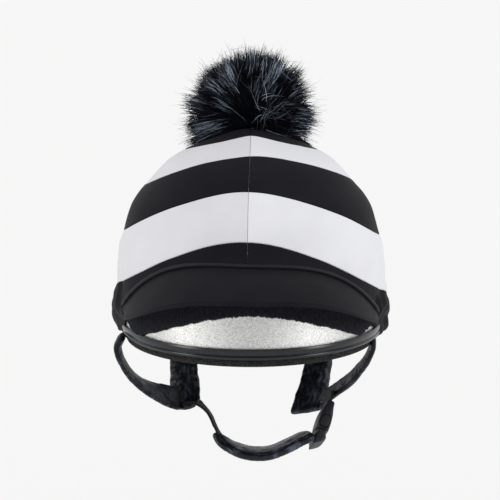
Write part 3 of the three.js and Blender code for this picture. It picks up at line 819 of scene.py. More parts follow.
    def panel(self, side: Side, row: Row) -> Surface:
        """One cut piece: a cloth wall between two seams, with its edges rounded in.

        The grid runs along the turn; each of its rows goes up the outer face and back
        down the inner one, and both draw together within the seam's rounding.
        """
        rise, turns = 20, np.linspace(0, np.pi, 120)
        if row is Row.SKIRT:
            bend = self.peak_end + self.skirt_turn
            rise, turns = 46, np.concatenate([np.linspace(0, self.peak_end, 56, endpoint=False),
                                              np.linspace(self.peak_end, bend, 30, endpoint=False),
                                              np.linspace(bend, np.pi, 92)])
        close = np.array([0, 0.0015, 0.004, 0.008])
        turns = np.unique(np.concatenate([close, turns[1:-1], np.pi - close]))
        turn = side.value * turns[:, None]
        close = [0.004, 0.010, 0.020, 0.035, 0.965, 0.980, 0.990, 0.996]
        v = np.unique(np.concatenate([np.linspace(0, 1, rise), close]))[None, :]
        low, high = self.edges(row, turn)
        low = low + self.seam_gap / 2
        high = high if row is Row.CROWN else high - self.seam_gap / 2
        arc = low + (high - low) * v
        edge = arc - low if row is Row.CROWN else np.minimum(arc - low, high - arc)
        edge = np.minimum(edge, np.abs(COVER.point(turn, self.up_at(arc))[..., 0]))
        pinch = 0.48 * self.fabric * (1 - quarter(edge / self.seam_round))
        grid = there_and_back(self.place(turn, arc, pinch),
                              self.place(turn, arc, self.fabric - pinch))
        middle = self.place(np.where(np.abs(turn) < 1.5, 0.0, np.pi), arc, 0.0)[..., 0]
        middle = self.seam_gap / 2 + side.value * there_and_back(middle, middle)
        grid[..., 0] = side.value * np.maximum(middle, side.value * grid[..., 0])
        return closed(grid)

    def declare(self, piece: Piece, side: Side, row: Row) -> None:
        """State a piece's cut size: its length round the head, its height and its flat area.

        The outer face is half of the wall's area. The cut is a strip along its middle line,
        as long as the line is on the head and as high as the strip at its highest.
        """
        turn = np.linspace(0, np.pi, 400) * side.value
        low, high = self.edges(row, turn)
        middle = self.place(turn, (low + high) / 2, 0.0) * MM
        tall = float((high - low).max()) * MM
        area = sum(face.area for face in piece.data.polygons) / 2
        long = float(np.linalg.norm(np.diff(middle, axis=0), axis=1).sum())
        long = max(long, area / tall)
        LOG.info("%s: cut %.3f by %.3f m, %.4f m2", piece.name, long, tall, area)

    def make(self, black: dict[Side, Material], white: dict[Side, Material]) -> None:
        """Build and dress all ten pieces; each half has its own copy of each cloth, the left
        half's painted lighter as the lit side.
        """
        for side in Side:
            for row in Row:
                pale = row in (Row.WHITE_LOWER, Row.WHITE_UPPER)
                slot, cloth = ("white_stretch", white) if pale else ("black_stretch", black)
                label = f"{row.name.lower()}_{side.name.lower()}"
                piece = dress(f"{label}_cloth", self.panel(side, row), cloth[side], slot,
                              f"cover_{label}")
                self.declare(piece, side, row)


@dataclass
class SoftPeak:
    """Padded peak with its corded seam, and the ribbed elastic hem under it."""

    cover: StretchCover
    reach: float = 48.0
    edge_rise: float = 48.0
    edge_fall: float = 31.0
    edge_bend: float = 2.9
    thickness: float = 4.5
    camber: float = 3.0
    nose: float = 0.045
    cord: float = 1.3
    seat: float = 0.3
    elastic: float = 2.6
    elastic_end: float = math.radians(69)
    elastic_girth: float = 104.0
    rib: float = 1.3

    def surface_point(self, turn: Array, v: Array, depth: Array | float) -> Array:
        """A point of the peak: from its root on the cover straight out to its front edge.

        The front edge is a half ellipse in plan that falls away to the sides. The middle
        is lifted by the camber, and depth goes down through the thickness.
        """
        sweep = np.pi / 2 * (turn / self.cover.peak_end)
        root = self.cover.place(turn, self.cover.seam_arc(turn) - 0.85 * self.cord, 0.3)
        corner = COVER.point(np.array(self.cover.peak_end), np.array(0.0))
        fall = self.edge_fall * np.abs(np.sin(sweep)) ** self.edge_bend
        edge = columns(abs(corner[0]) * np.sin(sweep),
                       corner[1] - (COVER.front + self.reach + corner[1]) * np.cos(sweep),
                       self.edge_rise - fall - np.sin(sweep))
        point = root + (edge - root) * v[..., None]
        size = self.thickness * (1 - 0.3 * v) * (0.35 + 0.65 * np.cos(sweep))
        point[..., 2] += self.camber * np.sin(np.pi * v) * np.cos(sweep) - depth * size
        point[..., 2] += 0.25 * ripple(point, 38, 23) * np.sin(np.pi * np.clip(v, 0, 1))
        return point

    def make_peak(self, cloth: Material) -> None:
        """The peak as one closed padded form: top, rounded front edge, underside."""
        turn = np.linspace(-self.cover.peak_end, self.cover.peak_end, 181)[:, None]
        v = 1 - (1 - np.linspace(0, 1, 40)) ** 1.35
        bend = np.linspace(0, np.pi, 11)
        flat = v * (1 - self.nose)
        nose = 1 + self.nose * np.sin(bend) - self.nose
        reach = np.concatenate([flat, nose, flat[::-1]])[None, :]
        depth = np.concatenate([0 * v, (1 - np.cos(bend)) / 2, 0 * v + 1])[None, :]
        grid = self.surface_point(*np.broadcast_arrays(turn, reach, depth))
        dress("peak_cloth", closed(grid), cloth, "black_stretch", "peak", fill=0.5)

    def make_cord(self, cloth: Material) -> None:
        """Corded seam: a round section carried along the peak's seam, standing proud of it."""
        turn = np.linspace(-self.cover.peak_end, self.cover.peak_end, 261)
        taper = 0.3 + 0.7 * smooth(1 - np.abs(turn) / self.cover.peak_end, 0, 0.06)
        centre = self.cover.place(turn, self.cover.seam_arc(turn) - 0.25, -0.55 * taper)
        out = columns(np.sin(turn), -np.cos(turn), 0)
        size = 1.16 * self.cord * taper * (1 + 0.05 * ripple(centre, 9, 31))
        angle = around(16)[None, :, None]
        grid = centre[:, None] + size[:, None, None] * (np.cos(angle) * out[:, None]
                                                        + np.sin(angle) * UP)
        dress("peak_cord_cloth", closed(grid), cloth, "black_stretch", "peak_cord")

    def make_elastic(self, plush: Material) -> None:
        """Ribbed elastic on the shell: the ribs are waves along the turn.

        The lower edge is ragged by a small random length on each rib.
        """
        turn = np.linspace(-self.elastic_end, self.elastic_end, 1001)[:, None]
        low = self.cover.full * (0.1355 - 0.15 * np.abs(np.sin(turn)) ** 1.85)
        low = np.maximum(low, 7.1)
        high = self.cover.seam_arc(turn) - self.cord - self.thickness - 2 * self.seat
        cut = np.where(turn < 0, smooth(-turn, math.radians(61), math.radians(71)),
                       smooth(turn, math.radians(54), math.radians(72)))
        low = low + np.maximum(high - low - 2.5, 0) * 0.9 * cut
        along = turn * self.elastic_girth
        rib = 0.5 + 0.5 * np.cos(2 * np.pi * along / self.rib)
        rng = np.random.default_rng(41)
        steps = np.arange(-130, 130, 0.6)
        low = low + np.interp(along, steps, rng.normal(0, 0.34, len(steps)))
        low = low + 0.3 * np.sin(along / 3.1) * np.sin(along / 7.3)
        v = np.concatenate([[0, 0.012, 0.03, 0.06], np.linspace(0.12, 1, 11)])[None, :]
        thick = self.elastic * (0.35 + 0.65 * quarter(v / 0.06)) - 0.24 * (1 - rib)
        up = (low + (high - low) * v) / SHELL.height
        outer = SHELL.point(turn, up, -thick - self.seat)
        outer = outer + 0.12 * ripple(outer, 2.4, 43)[..., None] * unit(outer * (1 - UP))
        flow = columns(along, up * SHELL.height, 0)
        dress("elastic_hem_plush",
              closed(there_and_back(outer, SHELL.point(turn, up, -self.seat)),
                     there_and_back(flow, flow)), plush, "ribbed_plush", "elastic_hem")


@dataclass
class SkullHelmet:
    """Hard shell, rubber rim trim and padded lining."""

    wall: float = 4.0
    lift: float = 1.3
    trim_wall: float = 1.5
    trim_top: float = 6.8
    trim_bottom: float = -0.5
    trim_girth: float = 105.0
    groove: float = 0.7
    seat: float = 0.3
    pad: float = 11.0
    quilt: float = 1.2
    welt: float = 5.2
    welt_inset: float = 1.5

    def ring(self, turn: Array, out: Array | float, z: Array | float) -> Array:
        """Points at an outward offset from the shell's rim and at a height."""
        turn, out, z = np.broadcast_arrays(turn, out, z)
        point = SHELL.point(turn, np.zeros_like(turn), -out)
        point[..., 2] = z
        return point

    @staticmethod
    def weld_pole(grid: Array) -> Array:
        """Draw the crown's points to the centre line, so that the pole is one point."""
        grid[np.hypot(grid[..., 0], grid[..., 1]) < 0.02, :2] = 0
        return grid

    def make_shell(self, lacquer: Material) -> None:
        """Hard shell: outer dome, rounded rim and inner dome as one closed wall."""
        turn = around(180)[:, None]
        up = (1 - (1 - np.linspace(0, 1, 40)) ** 1.5)[None, :]
        base = self.lift * (1 - smooth(up, 0, 0.2))[..., None] * UP
        grid = there_and_back(*(SHELL.point(turn, up, inset) + base for inset in (0, self.wall)))
        dress("shell_skin", closed(self.weld_pole(grid), wrap_u=True), lacquer, "silver_shell",
              "shell")

    def make_trim(self, rubber: Material) -> None:
        """Rubber channel: a convex upper band, a groove and a flat lower band."""
        out, low, top = self.seat + self.trim_wall, self.trim_bottom, self.trim_top
        waist = low + 0.34 * (top - low)
        a = np.linspace(0, 1, 15)
        upper = columns(out + 0.42 * np.sin(np.pi * a) ** 0.8 - 0.1,
                        waist + 0.55 + (top - 0.5 - waist) * a)
        lower = columns(out - 0.15 + 0.28 * np.sin(np.pi * a[::2]),
                        low + 0.25 + (waist - 0.7 - low) * a[::2])
        cap = [[out - 0.45, top], [self.seat + 0.5, top - 0.02], [self.seat, top - 0.5]]
        deep = [[out - self.groove, waist - 0.15], [out - self.groove - 0.1, waist + 0.1],
                [out - self.groove * 0.8, waist + 0.35]]
        inner, floor = -self.wall - out, low + self.trim_wall
        back = [[self.seat, floor], [inner + self.trim_wall, floor],
                [inner + self.trim_wall, top - 0.6], [inner, top - 0.6], [inner, low + 0.3],
                [inner + 0.4, low], [out - 0.6, low], [out - 0.25, low + 0.08]]
        section = np.vstack([lower, deep, upper, cap, back])[None]
        turn = around(420)[:, None]
        grid = self.ring(turn, section[..., 0], section[..., 1])
        flow = columns(turn * self.trim_girth, section[..., 1], section[..., 0])
        dress("rim_trim_rubber", closed(grid, flow, wrap_u=True), rubber, "trim_rubber",
              "rim_trim")

    def make_liner(self, textile: Material) -> None:
        """Padded lining with a rolled coarse edge below the trim.

        The pad swells between eight sewn lines that run up to the crown.
        """
        turn = around(1300)[:, None]
        low = self.trim_bottom - self.seat
        bend = np.linspace(-np.pi / 2, np.pi / 2, 9)[None, :]
        wander = np.sin(turn * 211 + np.sin(turn * 37))
        tooth = 0.55 * (0.5 + 0.5 * np.cos(turn * 326)) + 0.1 * wander
        foot, half = low - self.welt, self.welt / 2
        seat_low = -self.wall - 2 * self.seat - self.trim_wall
        swell = np.array([0.2, 0.43, 0.62, 0.75, 0.86, 0.94, 1.0])[None, :]
        up = np.linspace(1, 0.03, 16)[None, :]
        arch = np.sin(np.pi * np.clip(up * 1.02, 0, 1)) ** 0.6
        quilt = self.quilt * np.abs(np.cos(4 * turn)) ** 0.5 * arch
        rows = [
            self.ring(turn, np.array([[-self.wall - self.pad, -9.0, -5.0]]),
                      np.array([[foot + 0.2, foot, foot]])),
            self.ring(turn, -self.welt_inset - 1.2 + (1.2 - tooth) * np.cos(bend),
                      low - half + (half - 0.25 * tooth) * np.sin(bend)),
            self.ring(turn, np.array([[-5.0, seat_low]]), low),
            self.ring(turn, seat_low, self.trim_top),
            SHELL.point(turn, swell, self.wall + 0.6),
            SHELL.point(turn, up, self.wall + 0.6 + self.pad - self.quilt + quilt)]
        grid = self.weld_pole(np.concatenate(rows, 1))
        dress("liner_textile", closed(grid, wrap_u=True), textile, "lining_textile", "liner")


@dataclass(frozen=True)
class Coat:
    """One coat of the pompom's strands.

    Attributes:
        count: how many strands.
        reach: shortest and longest reach of the tips, as shares of the ball's radius.
        thick: width at the root.
        clump: how far the strands draw to their tuft's tip, lowest and highest.
        stray: how far a strand leaves its tuft.
        light: share of the tuft's tone that the strands take.
        seed: seed of this coat.
    """

    count: int
    reach: tuple[float, float]
    thick: float
    clump: tuple[float, float]
    stray: float
    light: float
    seed: int


@dataclass
class Pompom:
    """Faux fur ball: a dark heart, coats of strands in tufts, and loose hairs lying over it."""

    centre: tuple[float, float, float] = (0.0, 34.0, 151.5)
    radius: float = 48.5
    heart: float = 35.0
    tufts: int = 330
    comb: float = 0.42
    part: tuple[float, float, float] = (0.04, -0.97, -0.12)
    highlight_spots: tuple = (
        # where painted highlights gather on the strands: direction, spread, strength
        (-0.08, -0.62, 0.78, 0.09, 1.9), (0.25, -0.55, 0.80, 0.05, 0.9),
        (-0.76, -0.60, 0.26, 0.08, 1.3), (0.84, -0.50, 0.22, 0.12, 1.6),
        (0.84, -0.46, -0.30, 0.08, 1.2), (-0.66, -0.66, -0.34, 0.06, 0.8),
        (-0.50, -0.50, 0.70, 0.08, 0.8))
    seed: int = 77
    steps: int = 6
    coats: dict = field(default_factory=lambda: {
        "pompom_under_coat": Coat(3100, (0.84, 0.96), 1.15, (0.2, 0.75), 0.09, 0.2, 101),
        "pompom_coat": Coat(2900, (0.92, 1.02), 0.75, (0.55, 0.93), 0.04, 0.8, 102),
        "pompom_coat_fine": Coat(2500, (0.94, 1.06), 0.46, (0.5, 0.95), 0.05, 1.25, 103),
        "pompom_guard_hairs": Coat(620, (0.99, 1.15), 0.34, (0.3, 0.8), 0.12, 0.9, 104),
    })

    def cover_height(self, xy: Array) -> Array:
        """Height of the cover's dome under points of the plan."""
        reach = np.where(xy[..., 1] < 0, COVER.front, COVER.back)
        share = np.hypot(xy[..., 0] / COVER.half, xy[..., 1] / reach)
        ups = np.linspace(0, 1, 600)
        return COVER.height * np.interp(share, COVER.share(ups)[::-1], ups[::-1])

    def tubes(self, name: str, path: Array, thick: Array, tone: Array, fur: Material,
              rng: np.random.Generator) -> None:
        """Tapered three-sided strands along paths.

        Args:
            name: the piece's name.
            path: points, shape (strands, steps, 3), from the ball's centre.
            thick: root widths.
            tone: tones, shape (strands, steps).
            fur: the finish.
            rng: source of the lifts off the cover and the strands' turns.
        """
        n, steps = path.shape[:2]
        t = np.linspace(0, 1, steps)[None, :, None]
        path = path + np.array(self.centre)
        lift = self.cover_height(path[..., :2]) + 0.7 + 1.6 * rng.random((n, 1)) * t[..., 0]
        path[..., 2] = np.maximum(path[..., 2], lift)
        along = unit(np.gradient(path, axis=1))
        side = unit(np.cross(along, unit(rng.normal(size=(n, 1, 3)))))[:, :, None]
        other = np.cross(along[:, :, None], side)
        size = thick[:, None, None] * (1 - 0.9 * t ** 1.6)
        angle = around(3)[:, None]
        ring = path[:, :, None] + size[:, :, None] * 0.5 * (np.cos(angle) * side
                                                            + np.sin(angle) * other)
        root = (np.arange(n) * steps * 3)[:, None]
        i = root[..., None] + np.arange(steps - 1)[None, :, None] * 3
        j = np.arange(3)[None, None, :]
        j2 = (j + 1) % 3
        quad = columns(i + j, i + j2, i + 3 + j2, i + 3 + j).reshape(-1, 4)
        first, last = root + [2, 1, 0], root + [0, 1, 2] + (steps - 1) * 3
        flow = np.zeros((n, steps, 3, 3))
        flow[..., 0] = np.clip(tone, 0, 1)[:, :, None]
        surface = Surface(ring.reshape(-1, 3) * MM, [quad, first, last], flow.reshape(-1, 3))
        dress(name, surface.outward(), fur, "fur", "pompom")

    def lay(self, aim: Array) -> Array:
        """Which way the fur is swept: away from the parting at the front, less behind."""
        part = unit(np.array(self.part))
        along = (aim * part).sum(-1, keepdims=True)
        return (unit(aim * along - part) * (0.25 + 0.75 * smooth(along, -0.7, 0.3))
                * smooth(1 - along, 0.0, 0.12))

    def coat(self, name: str, coat: Coat, fur: Material) -> None:
        """A coat of strands standing out of the heart.

        Each strand starts on the heart and heads for its tuft's tip. It sags with the
        square of the way along it. Its tone is painted light and shade: dark at the root,
        brightest past the middle and darker again at the tip, dark where it points at the
        eye and lighter where it points sideways, away, up or into a highlight spot.

        Args:
            name: the piece's name.
            coat: the coat's numbers.
            fur: the finish.
        """
        rng = np.random.default_rng(coat.seed)
        shared = np.random.default_rng(self.seed)
        tuft = unit(shared.normal(size=(self.tufts, 3)))
        tip_of = unit(tuft + self.comb * self.lay(tuft) + shared.normal(0, 0.11, tuft.shape))
        tuft_reach = shared.uniform(0.90, 1.07, self.tufts)
        tuft_tone = shared.random(self.tufts) ** 2.6
        aim = unit(rng.normal(size=(3 * coat.count, 3)))
        aim = aim[aim[:, 2] > -0.8][:coat.count]
        count = len(aim)
        near = np.argmax(aim @ tuft.T, axis=1)
        pull = rng.uniform(*coat.clump, (count, 1))
        free = unit(aim + self.comb * self.lay(aim))
        lean = unit(free * (1 - pull) + tip_of[near] * pull + rng.normal(0, coat.stray, aim.shape))
        wide = 1 + 0.05 * np.clip(-lean[:, 2] + 0.25, 0, 1) + 0.02 * (1 - np.abs(lean[:, 2]))
        least, most = (share * self.radius for share in coat.reach)
        reach = (rng.uniform(least, most, count) * tuft_reach[near] * wide)[:, None, None]
        t = np.linspace(0, 1, self.steps)[None, :, None]
        root = aim[:, None] * self.heart * 0.9
        curl = rng.normal(0, 1.7, (count, 1, 3))
        path = root + (lean[:, None] * reach - root) * t
        path = path + curl * np.sin(np.pi * t * 0.9) * t - 1.8 * UP * t ** 2
        # painted highlights: strands aimed into these spots are made lighter
        highlight_spots = np.array(self.highlight_spots)
        lobes = np.exp((lean @ unit(highlight_spots[:, :3]).T - 1) / highlight_spots[:, 3]) @ highlight_spots[:, 4]
        # painted light by aim: strands aimed at the eye stay dark, those aimed sideways, away or
        # up are lighter
        behind = smooth(lean[:, 1], -0.25, 0.5) * (0.35 + 0.65 * smooth(lean[:, 2], -0.4, 0.8))
        own = tuft_tone[near] * (0.3 + 1.2 * rng.random(count) ** 2) + 0.4 * rng.random(count) ** 4
        strand = coat.light * (0.1 + lobes + 0.75 * behind) * own
        t = t[..., 0]
        # painted shade at the root, painted highlight past the middle of the strand
        along = smooth(t, 0.2, 0.62) * (1 - 0.6 * smooth(t, 0.75, 1.0))
        thick = coat.thick * rng.uniform(0.7, 1.35, count)
        self.tubes(name, path, thick, 0.01 + strand[:, None] * along, fur, rng)

    def loose(self, name: str, count: int, fur: Material, seed: int) -> None:
        """Long pale hairs lying over the ball.

        About a third of them start in one tangle at the front, the rest anywhere. Each
        follows the ball at its own radius and rises with the square of its length.
        """
        rng = np.random.default_rng(seed)
        start = unit(rng.normal(size=(count, 3)))
        knot = unit(np.array([0.22, -0.97, 0.08]) + rng.normal(0, 0.13, (count, 3)))
        tangled = (np.arange(count) < count * 0.36)[:, None]
        start = np.where(tangled, knot, start)
        start[:, 2:] = np.where(tangled, start[:, 2:], np.maximum(start[:, 2:], -0.35))
        start = unit(start)
        heading = rng.normal(size=(count, 3)) + np.where(tangled, [0.9, 0, 0.35],
                                                         1.2 * start + 0.5 * UP)
        heading = unit(heading - start * (heading * start).sum(-1, keepdims=True))
        t = np.linspace(0, 1, self.steps)[None, :, None]
        length = (rng.uniform(0.2, 0.6, (count, 1)) * np.where(tangled, 0.55, 1.0))[..., None]
        bend = rng.normal(0, 0.14, (count, 1, 3))
        way = unit(start[:, None] + heading[:, None] * length * t + bend * t ** 2)
        radius = self.radius * (rng.uniform(0.84, 0.99, (count, 1, 1)) + 0.11 * t ** 2)
        # painted highlight: each loose hair is lighter in its middle than at its ends
        hair_highlight = 0.35 + 0.65 * np.sin(np.pi * (0.12 + 0.76 * t[..., 0]))
        tone = rng.uniform(0.1, 0.95, (count, 1)) * hair_highlight
        self.tubes(name, way * radius, rng.uniform(0.2, 0.34, count), tone, fur, rng)

    def make(self, fur: Material) -> None:
        """Build the heart, the coats and the loose hairs."""
        turn, tilt = around(96)[:, None], np.linspace(0, np.pi, 48)[None, :]
        aim = columns(np.sin(tilt) * np.cos(turn), np.sin(tilt) * np.sin(turn), np.cos(tilt))
        lumps = self.heart + 1.2 * ripple(aim * 30, 9, 7)[..., None]
        grid = aim * lumps + np.array(self.centre)
        grid[..., 2] = np.maximum(grid[..., 2], self.cover_height(grid[..., :2]) + 0.4)
        for pole in (0, -1):
            grid[:, pole] = grid[:, pole].mean(0)
        # the heart takes the darkest fur tone: painted shade deep in the fur
        heart = closed(grid, np.zeros(3), wrap_u=True, wrap_v=False)
        dress("pompom_heart", heart, fur, "fur", "pompom")
        for name, coat in self.coats.items():
            self.coat(name, coat, fur)
        self.loose("pompom_loose_hairs", 110, fur, 105)


# Straps

STRAP_SECTION = 32
STITCH_PITCH = 3.2
HARNESS_SCALE = np.array([SHELL.half, SHELL.front, -68.0])
CHIN_SCALE = np.array([SHELL.half, SHELL.front, -86.0])


def strap_frame(line: Array) -> tuple[Array, Array, Array, Array]:
    """Centre, direction along, direction across and face normal of each row of a line."""
    centre = line[:, :3]
    along = unit(np.gradient(centre, axis=0))
    across = line[:, 3:6]
    across = unit(across - along * (across * along).sum(-1, keepdims=True))
    return centre, along, across, np.cross(along, across)


def strap_grid(line: Array, width: Array, thickness: Array,
               power: float = 3.2) -> tuple[Array, Array, Array]:
    """A flat rounded section carried along a line.

    The section is a superellipse: across to the power and through to the power sum to 1.

    Args:
        line: rows of x, y, z and the direction across, in millimetres.
        width: full width on each row, or on all of them.
        thickness: full thickness, in the same way.
        power: how square the section is.

    Returns:
        The grid of points; for each the ways along and across and the face, 1 or -1; and
        for each the direction out of the section.
    """
    centre, _, across, face = strap_frame(line)
    a, b = superellipse(around(STRAP_SECTION)[None, :], power)
    width, thickness = (np.broadcast_to(v, len(line))[:, None] / 2 for v in (width, thickness))
    grid = (centre[:, None] + (a * width)[..., None] * across[:, None]
            + (b * thickness)[..., None] * face[:, None])
    flow = columns(ways(centre)[:, None], a * width, b)
    return grid, flow, unit(grid - grid.mean(1, keepdims=True))


def round_ends(count: int, rows: float, floor: float) -> Array:
    """Sizes of count rows that round off over some rows at each end."""
    ends = np.minimum(np.linspace(0, 1, count), np.linspace(1, 0, count)) * count
    return quarter(ends / rows, floor)


def stitches(line: Array, side_step: Array, lift: Array, thread: float = 0.42) -> Surface:
    """Sewing thread along a strap: one small capsule for each stitch, on both faces.

    Args:
        line: the strap's dense line.
        side_step: distance across from the centre line on each row.
        lift: distance from the centre plane to the thread on each row.
        thread: thickness of the thread.

    Returns:
        All the stitches as one surface.
    """
    run = ways(line[:, :3])
    pick = np.searchsorted(run, np.arange(STITCH_PITCH, run[-1] - STITCH_PITCH, STITCH_PITCH))
    centre, along, across, face = (v[pick][:, None, None] for v in strap_frame(line))
    side_step, lift = side_step[pick, None, None, None], lift[pick, None, None, None]
    ring = around(5)[None, None, :, None]
    slope = np.array([-1, -0.7, 0, 0.7, 1])[None, :, None, None]
    fat = np.array([0.12, 0.8, 1, 0.8, 0.12])[None, :, None, None]
    round_it = thread / 2 * fat * (np.cos(ring) * across + np.sin(ring) * face)
    capsule = centre + 0.36 * STITCH_PITCH * slope * along + round_it
    grids = [capsule + sign * side_step * across + top * (lift - (1 - fat) * 0.3) * face
             for sign in (-1, 1) for top in (-1, 1)]
    return together(*(closed(stitch) for grid in grids for stitch in grid))


@dataclass
class Harness:
    """Padded leatherette straps: a front and a rear one a side, joined below the ear."""

    width: float = 23.0
    thickness: float = 4.4
    slant: float = 4.2
    slant_lines: int = 34
    routes: dict = field(default_factory=lambda: {
        # side, back, down, share of the width, share of the thickness, direction across
        (Side.LEFT, Part.FRONT): (
            (0.935, -0.29, -0.02, 0.85, 0.9, 0, -1, 0.12),
            (0.94, -0.29, 0.06, 0.85, 0.9, 0, -1, 0.12),
            (0.935, -0.28, 0.14, 0.85, 0.95, 0, -1, 0.12),
            (0.9, -0.24, 0.27, 0.85, 1.1, 0, -1, 0.1),
            (0.848, -0.17, 0.4, 0.87, 1.25, -0.03, -1, 0.05),
            (0.785, -0.07, 0.54, 0.87, 1.4, -0.06, -1, 0),
            (0.71, 0.03, 0.66, 0.85, 1.4, -0.1, -0.97, -0.08),
            (0.64, 0.11, 0.76, 0.8, 1.3, -0.12, -0.95, -0.15),
            (0.575, 0.22, 0.83, 0.5, 0.7, -0.15, -0.9, -0.2)),
        (Side.RIGHT, Part.FRONT): (
            (-0.985, -0.29, -0.02, 0.85, 1.0, 0, -1, 0.12),
            (-1.01, -0.29, 0.05, 0.85, 1.05, 0, -1, 0.12),
            (-1.03, -0.285, 0.13, 0.85, 1.1, 0, -1, 0.12),
            (-1.005, -0.24, 0.28, 0.87, 1, 0, -1, 0.1),
            (-0.945, -0.13, 0.47, 0.9, 1.05, 0.05, -1, 0.02),
            (-0.85, -0.02, 0.64, 0.95, 1.1, 0.12, -0.95, -0.12),
            (-0.74, 0.1, 0.765, 1, 1.15, 0.2, -0.85, -0.35),
            (-0.64, 0.19, 0.84, 1, 1.1, 0.25, -0.75, -0.5),
            (-0.55, 0.27, 0.885, 0.85, 0.9, 0.3, -0.65, -0.6)),
        (Side.LEFT, Part.REAR): (
            (0.57, 0.82, -0.02, 0.87, 0.9, 1, 0, 0), (0.575, 0.77, 0.26, 0.87, 0.95, 1, 0, 0),
            (0.565, 0.65, 0.5, 0.88, 1, 1, 0, -0.05), (0.54, 0.49, 0.68, 0.92, 1.05, 1, 0, -0.1),
            (0.5, 0.33, 0.84, 1.0, 1.1, 1, 0, -0.05), (0.455, 0.2, 1.0, 1.1, 1, 1, 0, 0.2)),
        (Side.RIGHT, Part.REAR): (
            (-0.57, 0.82, -0.02, 0.87, 0.9, 1, 0, 0), (-0.575, 0.77, 0.26, 0.87, 0.95, 1, 0, 0),
            (-0.565, 0.65, 0.5, 0.88, 1, 1, 0, 0), (-0.55, 0.49, 0.68, 0.92, 1.05, 1, 0, 0),
            (-0.535, 0.34, 0.79, 0.95, 1.1, 1, 0, 0.05),
            (-0.515, 0.22, 0.885, 0.85, 1.05, 1, 0, 0.1),
            (-0.492, 0.165, 0.955, 0.42, 0.9, 1, 0, 0.2)),
    })

    def strap(self, side: Side, part: Part, leather: Material, seed: int) -> Surface:
        """One padded strap: swollen between its sewn edges, puckered along the stitches.

        The swelling falls to a groove at the stitch line, four fifths of the way out. The
        pucker is a wave along the strap, strongest at the groove, and the pulls are noise.

        Args:
            side: which side.
            part: front or rear.
            leather: the finish.
            seed: seed of the pulls.

        Returns:
            The strap's stitches.
        """
        rows = np.array(self.routes[side, part], float)
        line = along_line(np.hstack([rows[:, :3] * HARNESS_SCALE, rows[:, 5:], rows[:, 3:5]]), 200)
        width, thick = self.width * line[:, 6], self.thickness * line[:, 7]
        taper = round_ends(len(line), 7, 0.02)
        grid, flow, out = strap_grid(line, width * (0.6 + 0.4 * taper), thick * taper)
        reach = flow[..., 1] / (width / 2)[:, None]
        if (side, part) == (Side.LEFT, Part.REAR):
            low = smooth(np.arange(len(line)), len(line) - self.slant_lines, len(line))[:, None]
            along = strap_frame(line)[1][:, None]
            grid = grid + along * (self.slant * low * (0.2 - reach))[..., None]
        edge = np.abs(reach)
        swell = 0.6 * (1 - edge ** 2) - 0.75 * bell(edge, 0.78, 0.06)
        phase = 2 * np.pi * flow[..., 0] / STITCH_PITCH + 2 * ripple(grid, 12, seed + 2)
        pucker = 0.14 * np.sin(phase) * bell(edge, 0.8, 0.3)
        pulls = ripples(grid, (0.3, 8.5, seed), (0.34, 17, seed + 1))
        grid = grid + out * (swell + pucker + pulls * (0.45 + 0.55 * edge))[..., None] * 0.85
        name = side.name.lower()
        dress(f"{name}_{part.value}_strap", closed(grid, flow), leather, "harness_leatherette",
              f"harness_{name}", fill=0.4)
        return stitches(line, 0.39 * width, thick * 0.36)

    def make(self, leather: dict[Part, Material], thread: Material) -> None:
        """Build the four straps and their thread; the rear straps are the shinier ones, with paler
        painted highlights.
        """
        sewn = [self.strap(side, part, leather[part], 200 + 10 * number)
                for number, (side, part) in enumerate(self.routes)]
        dress("harness_stitches", together(*sewn), thread, "strap_webbing")


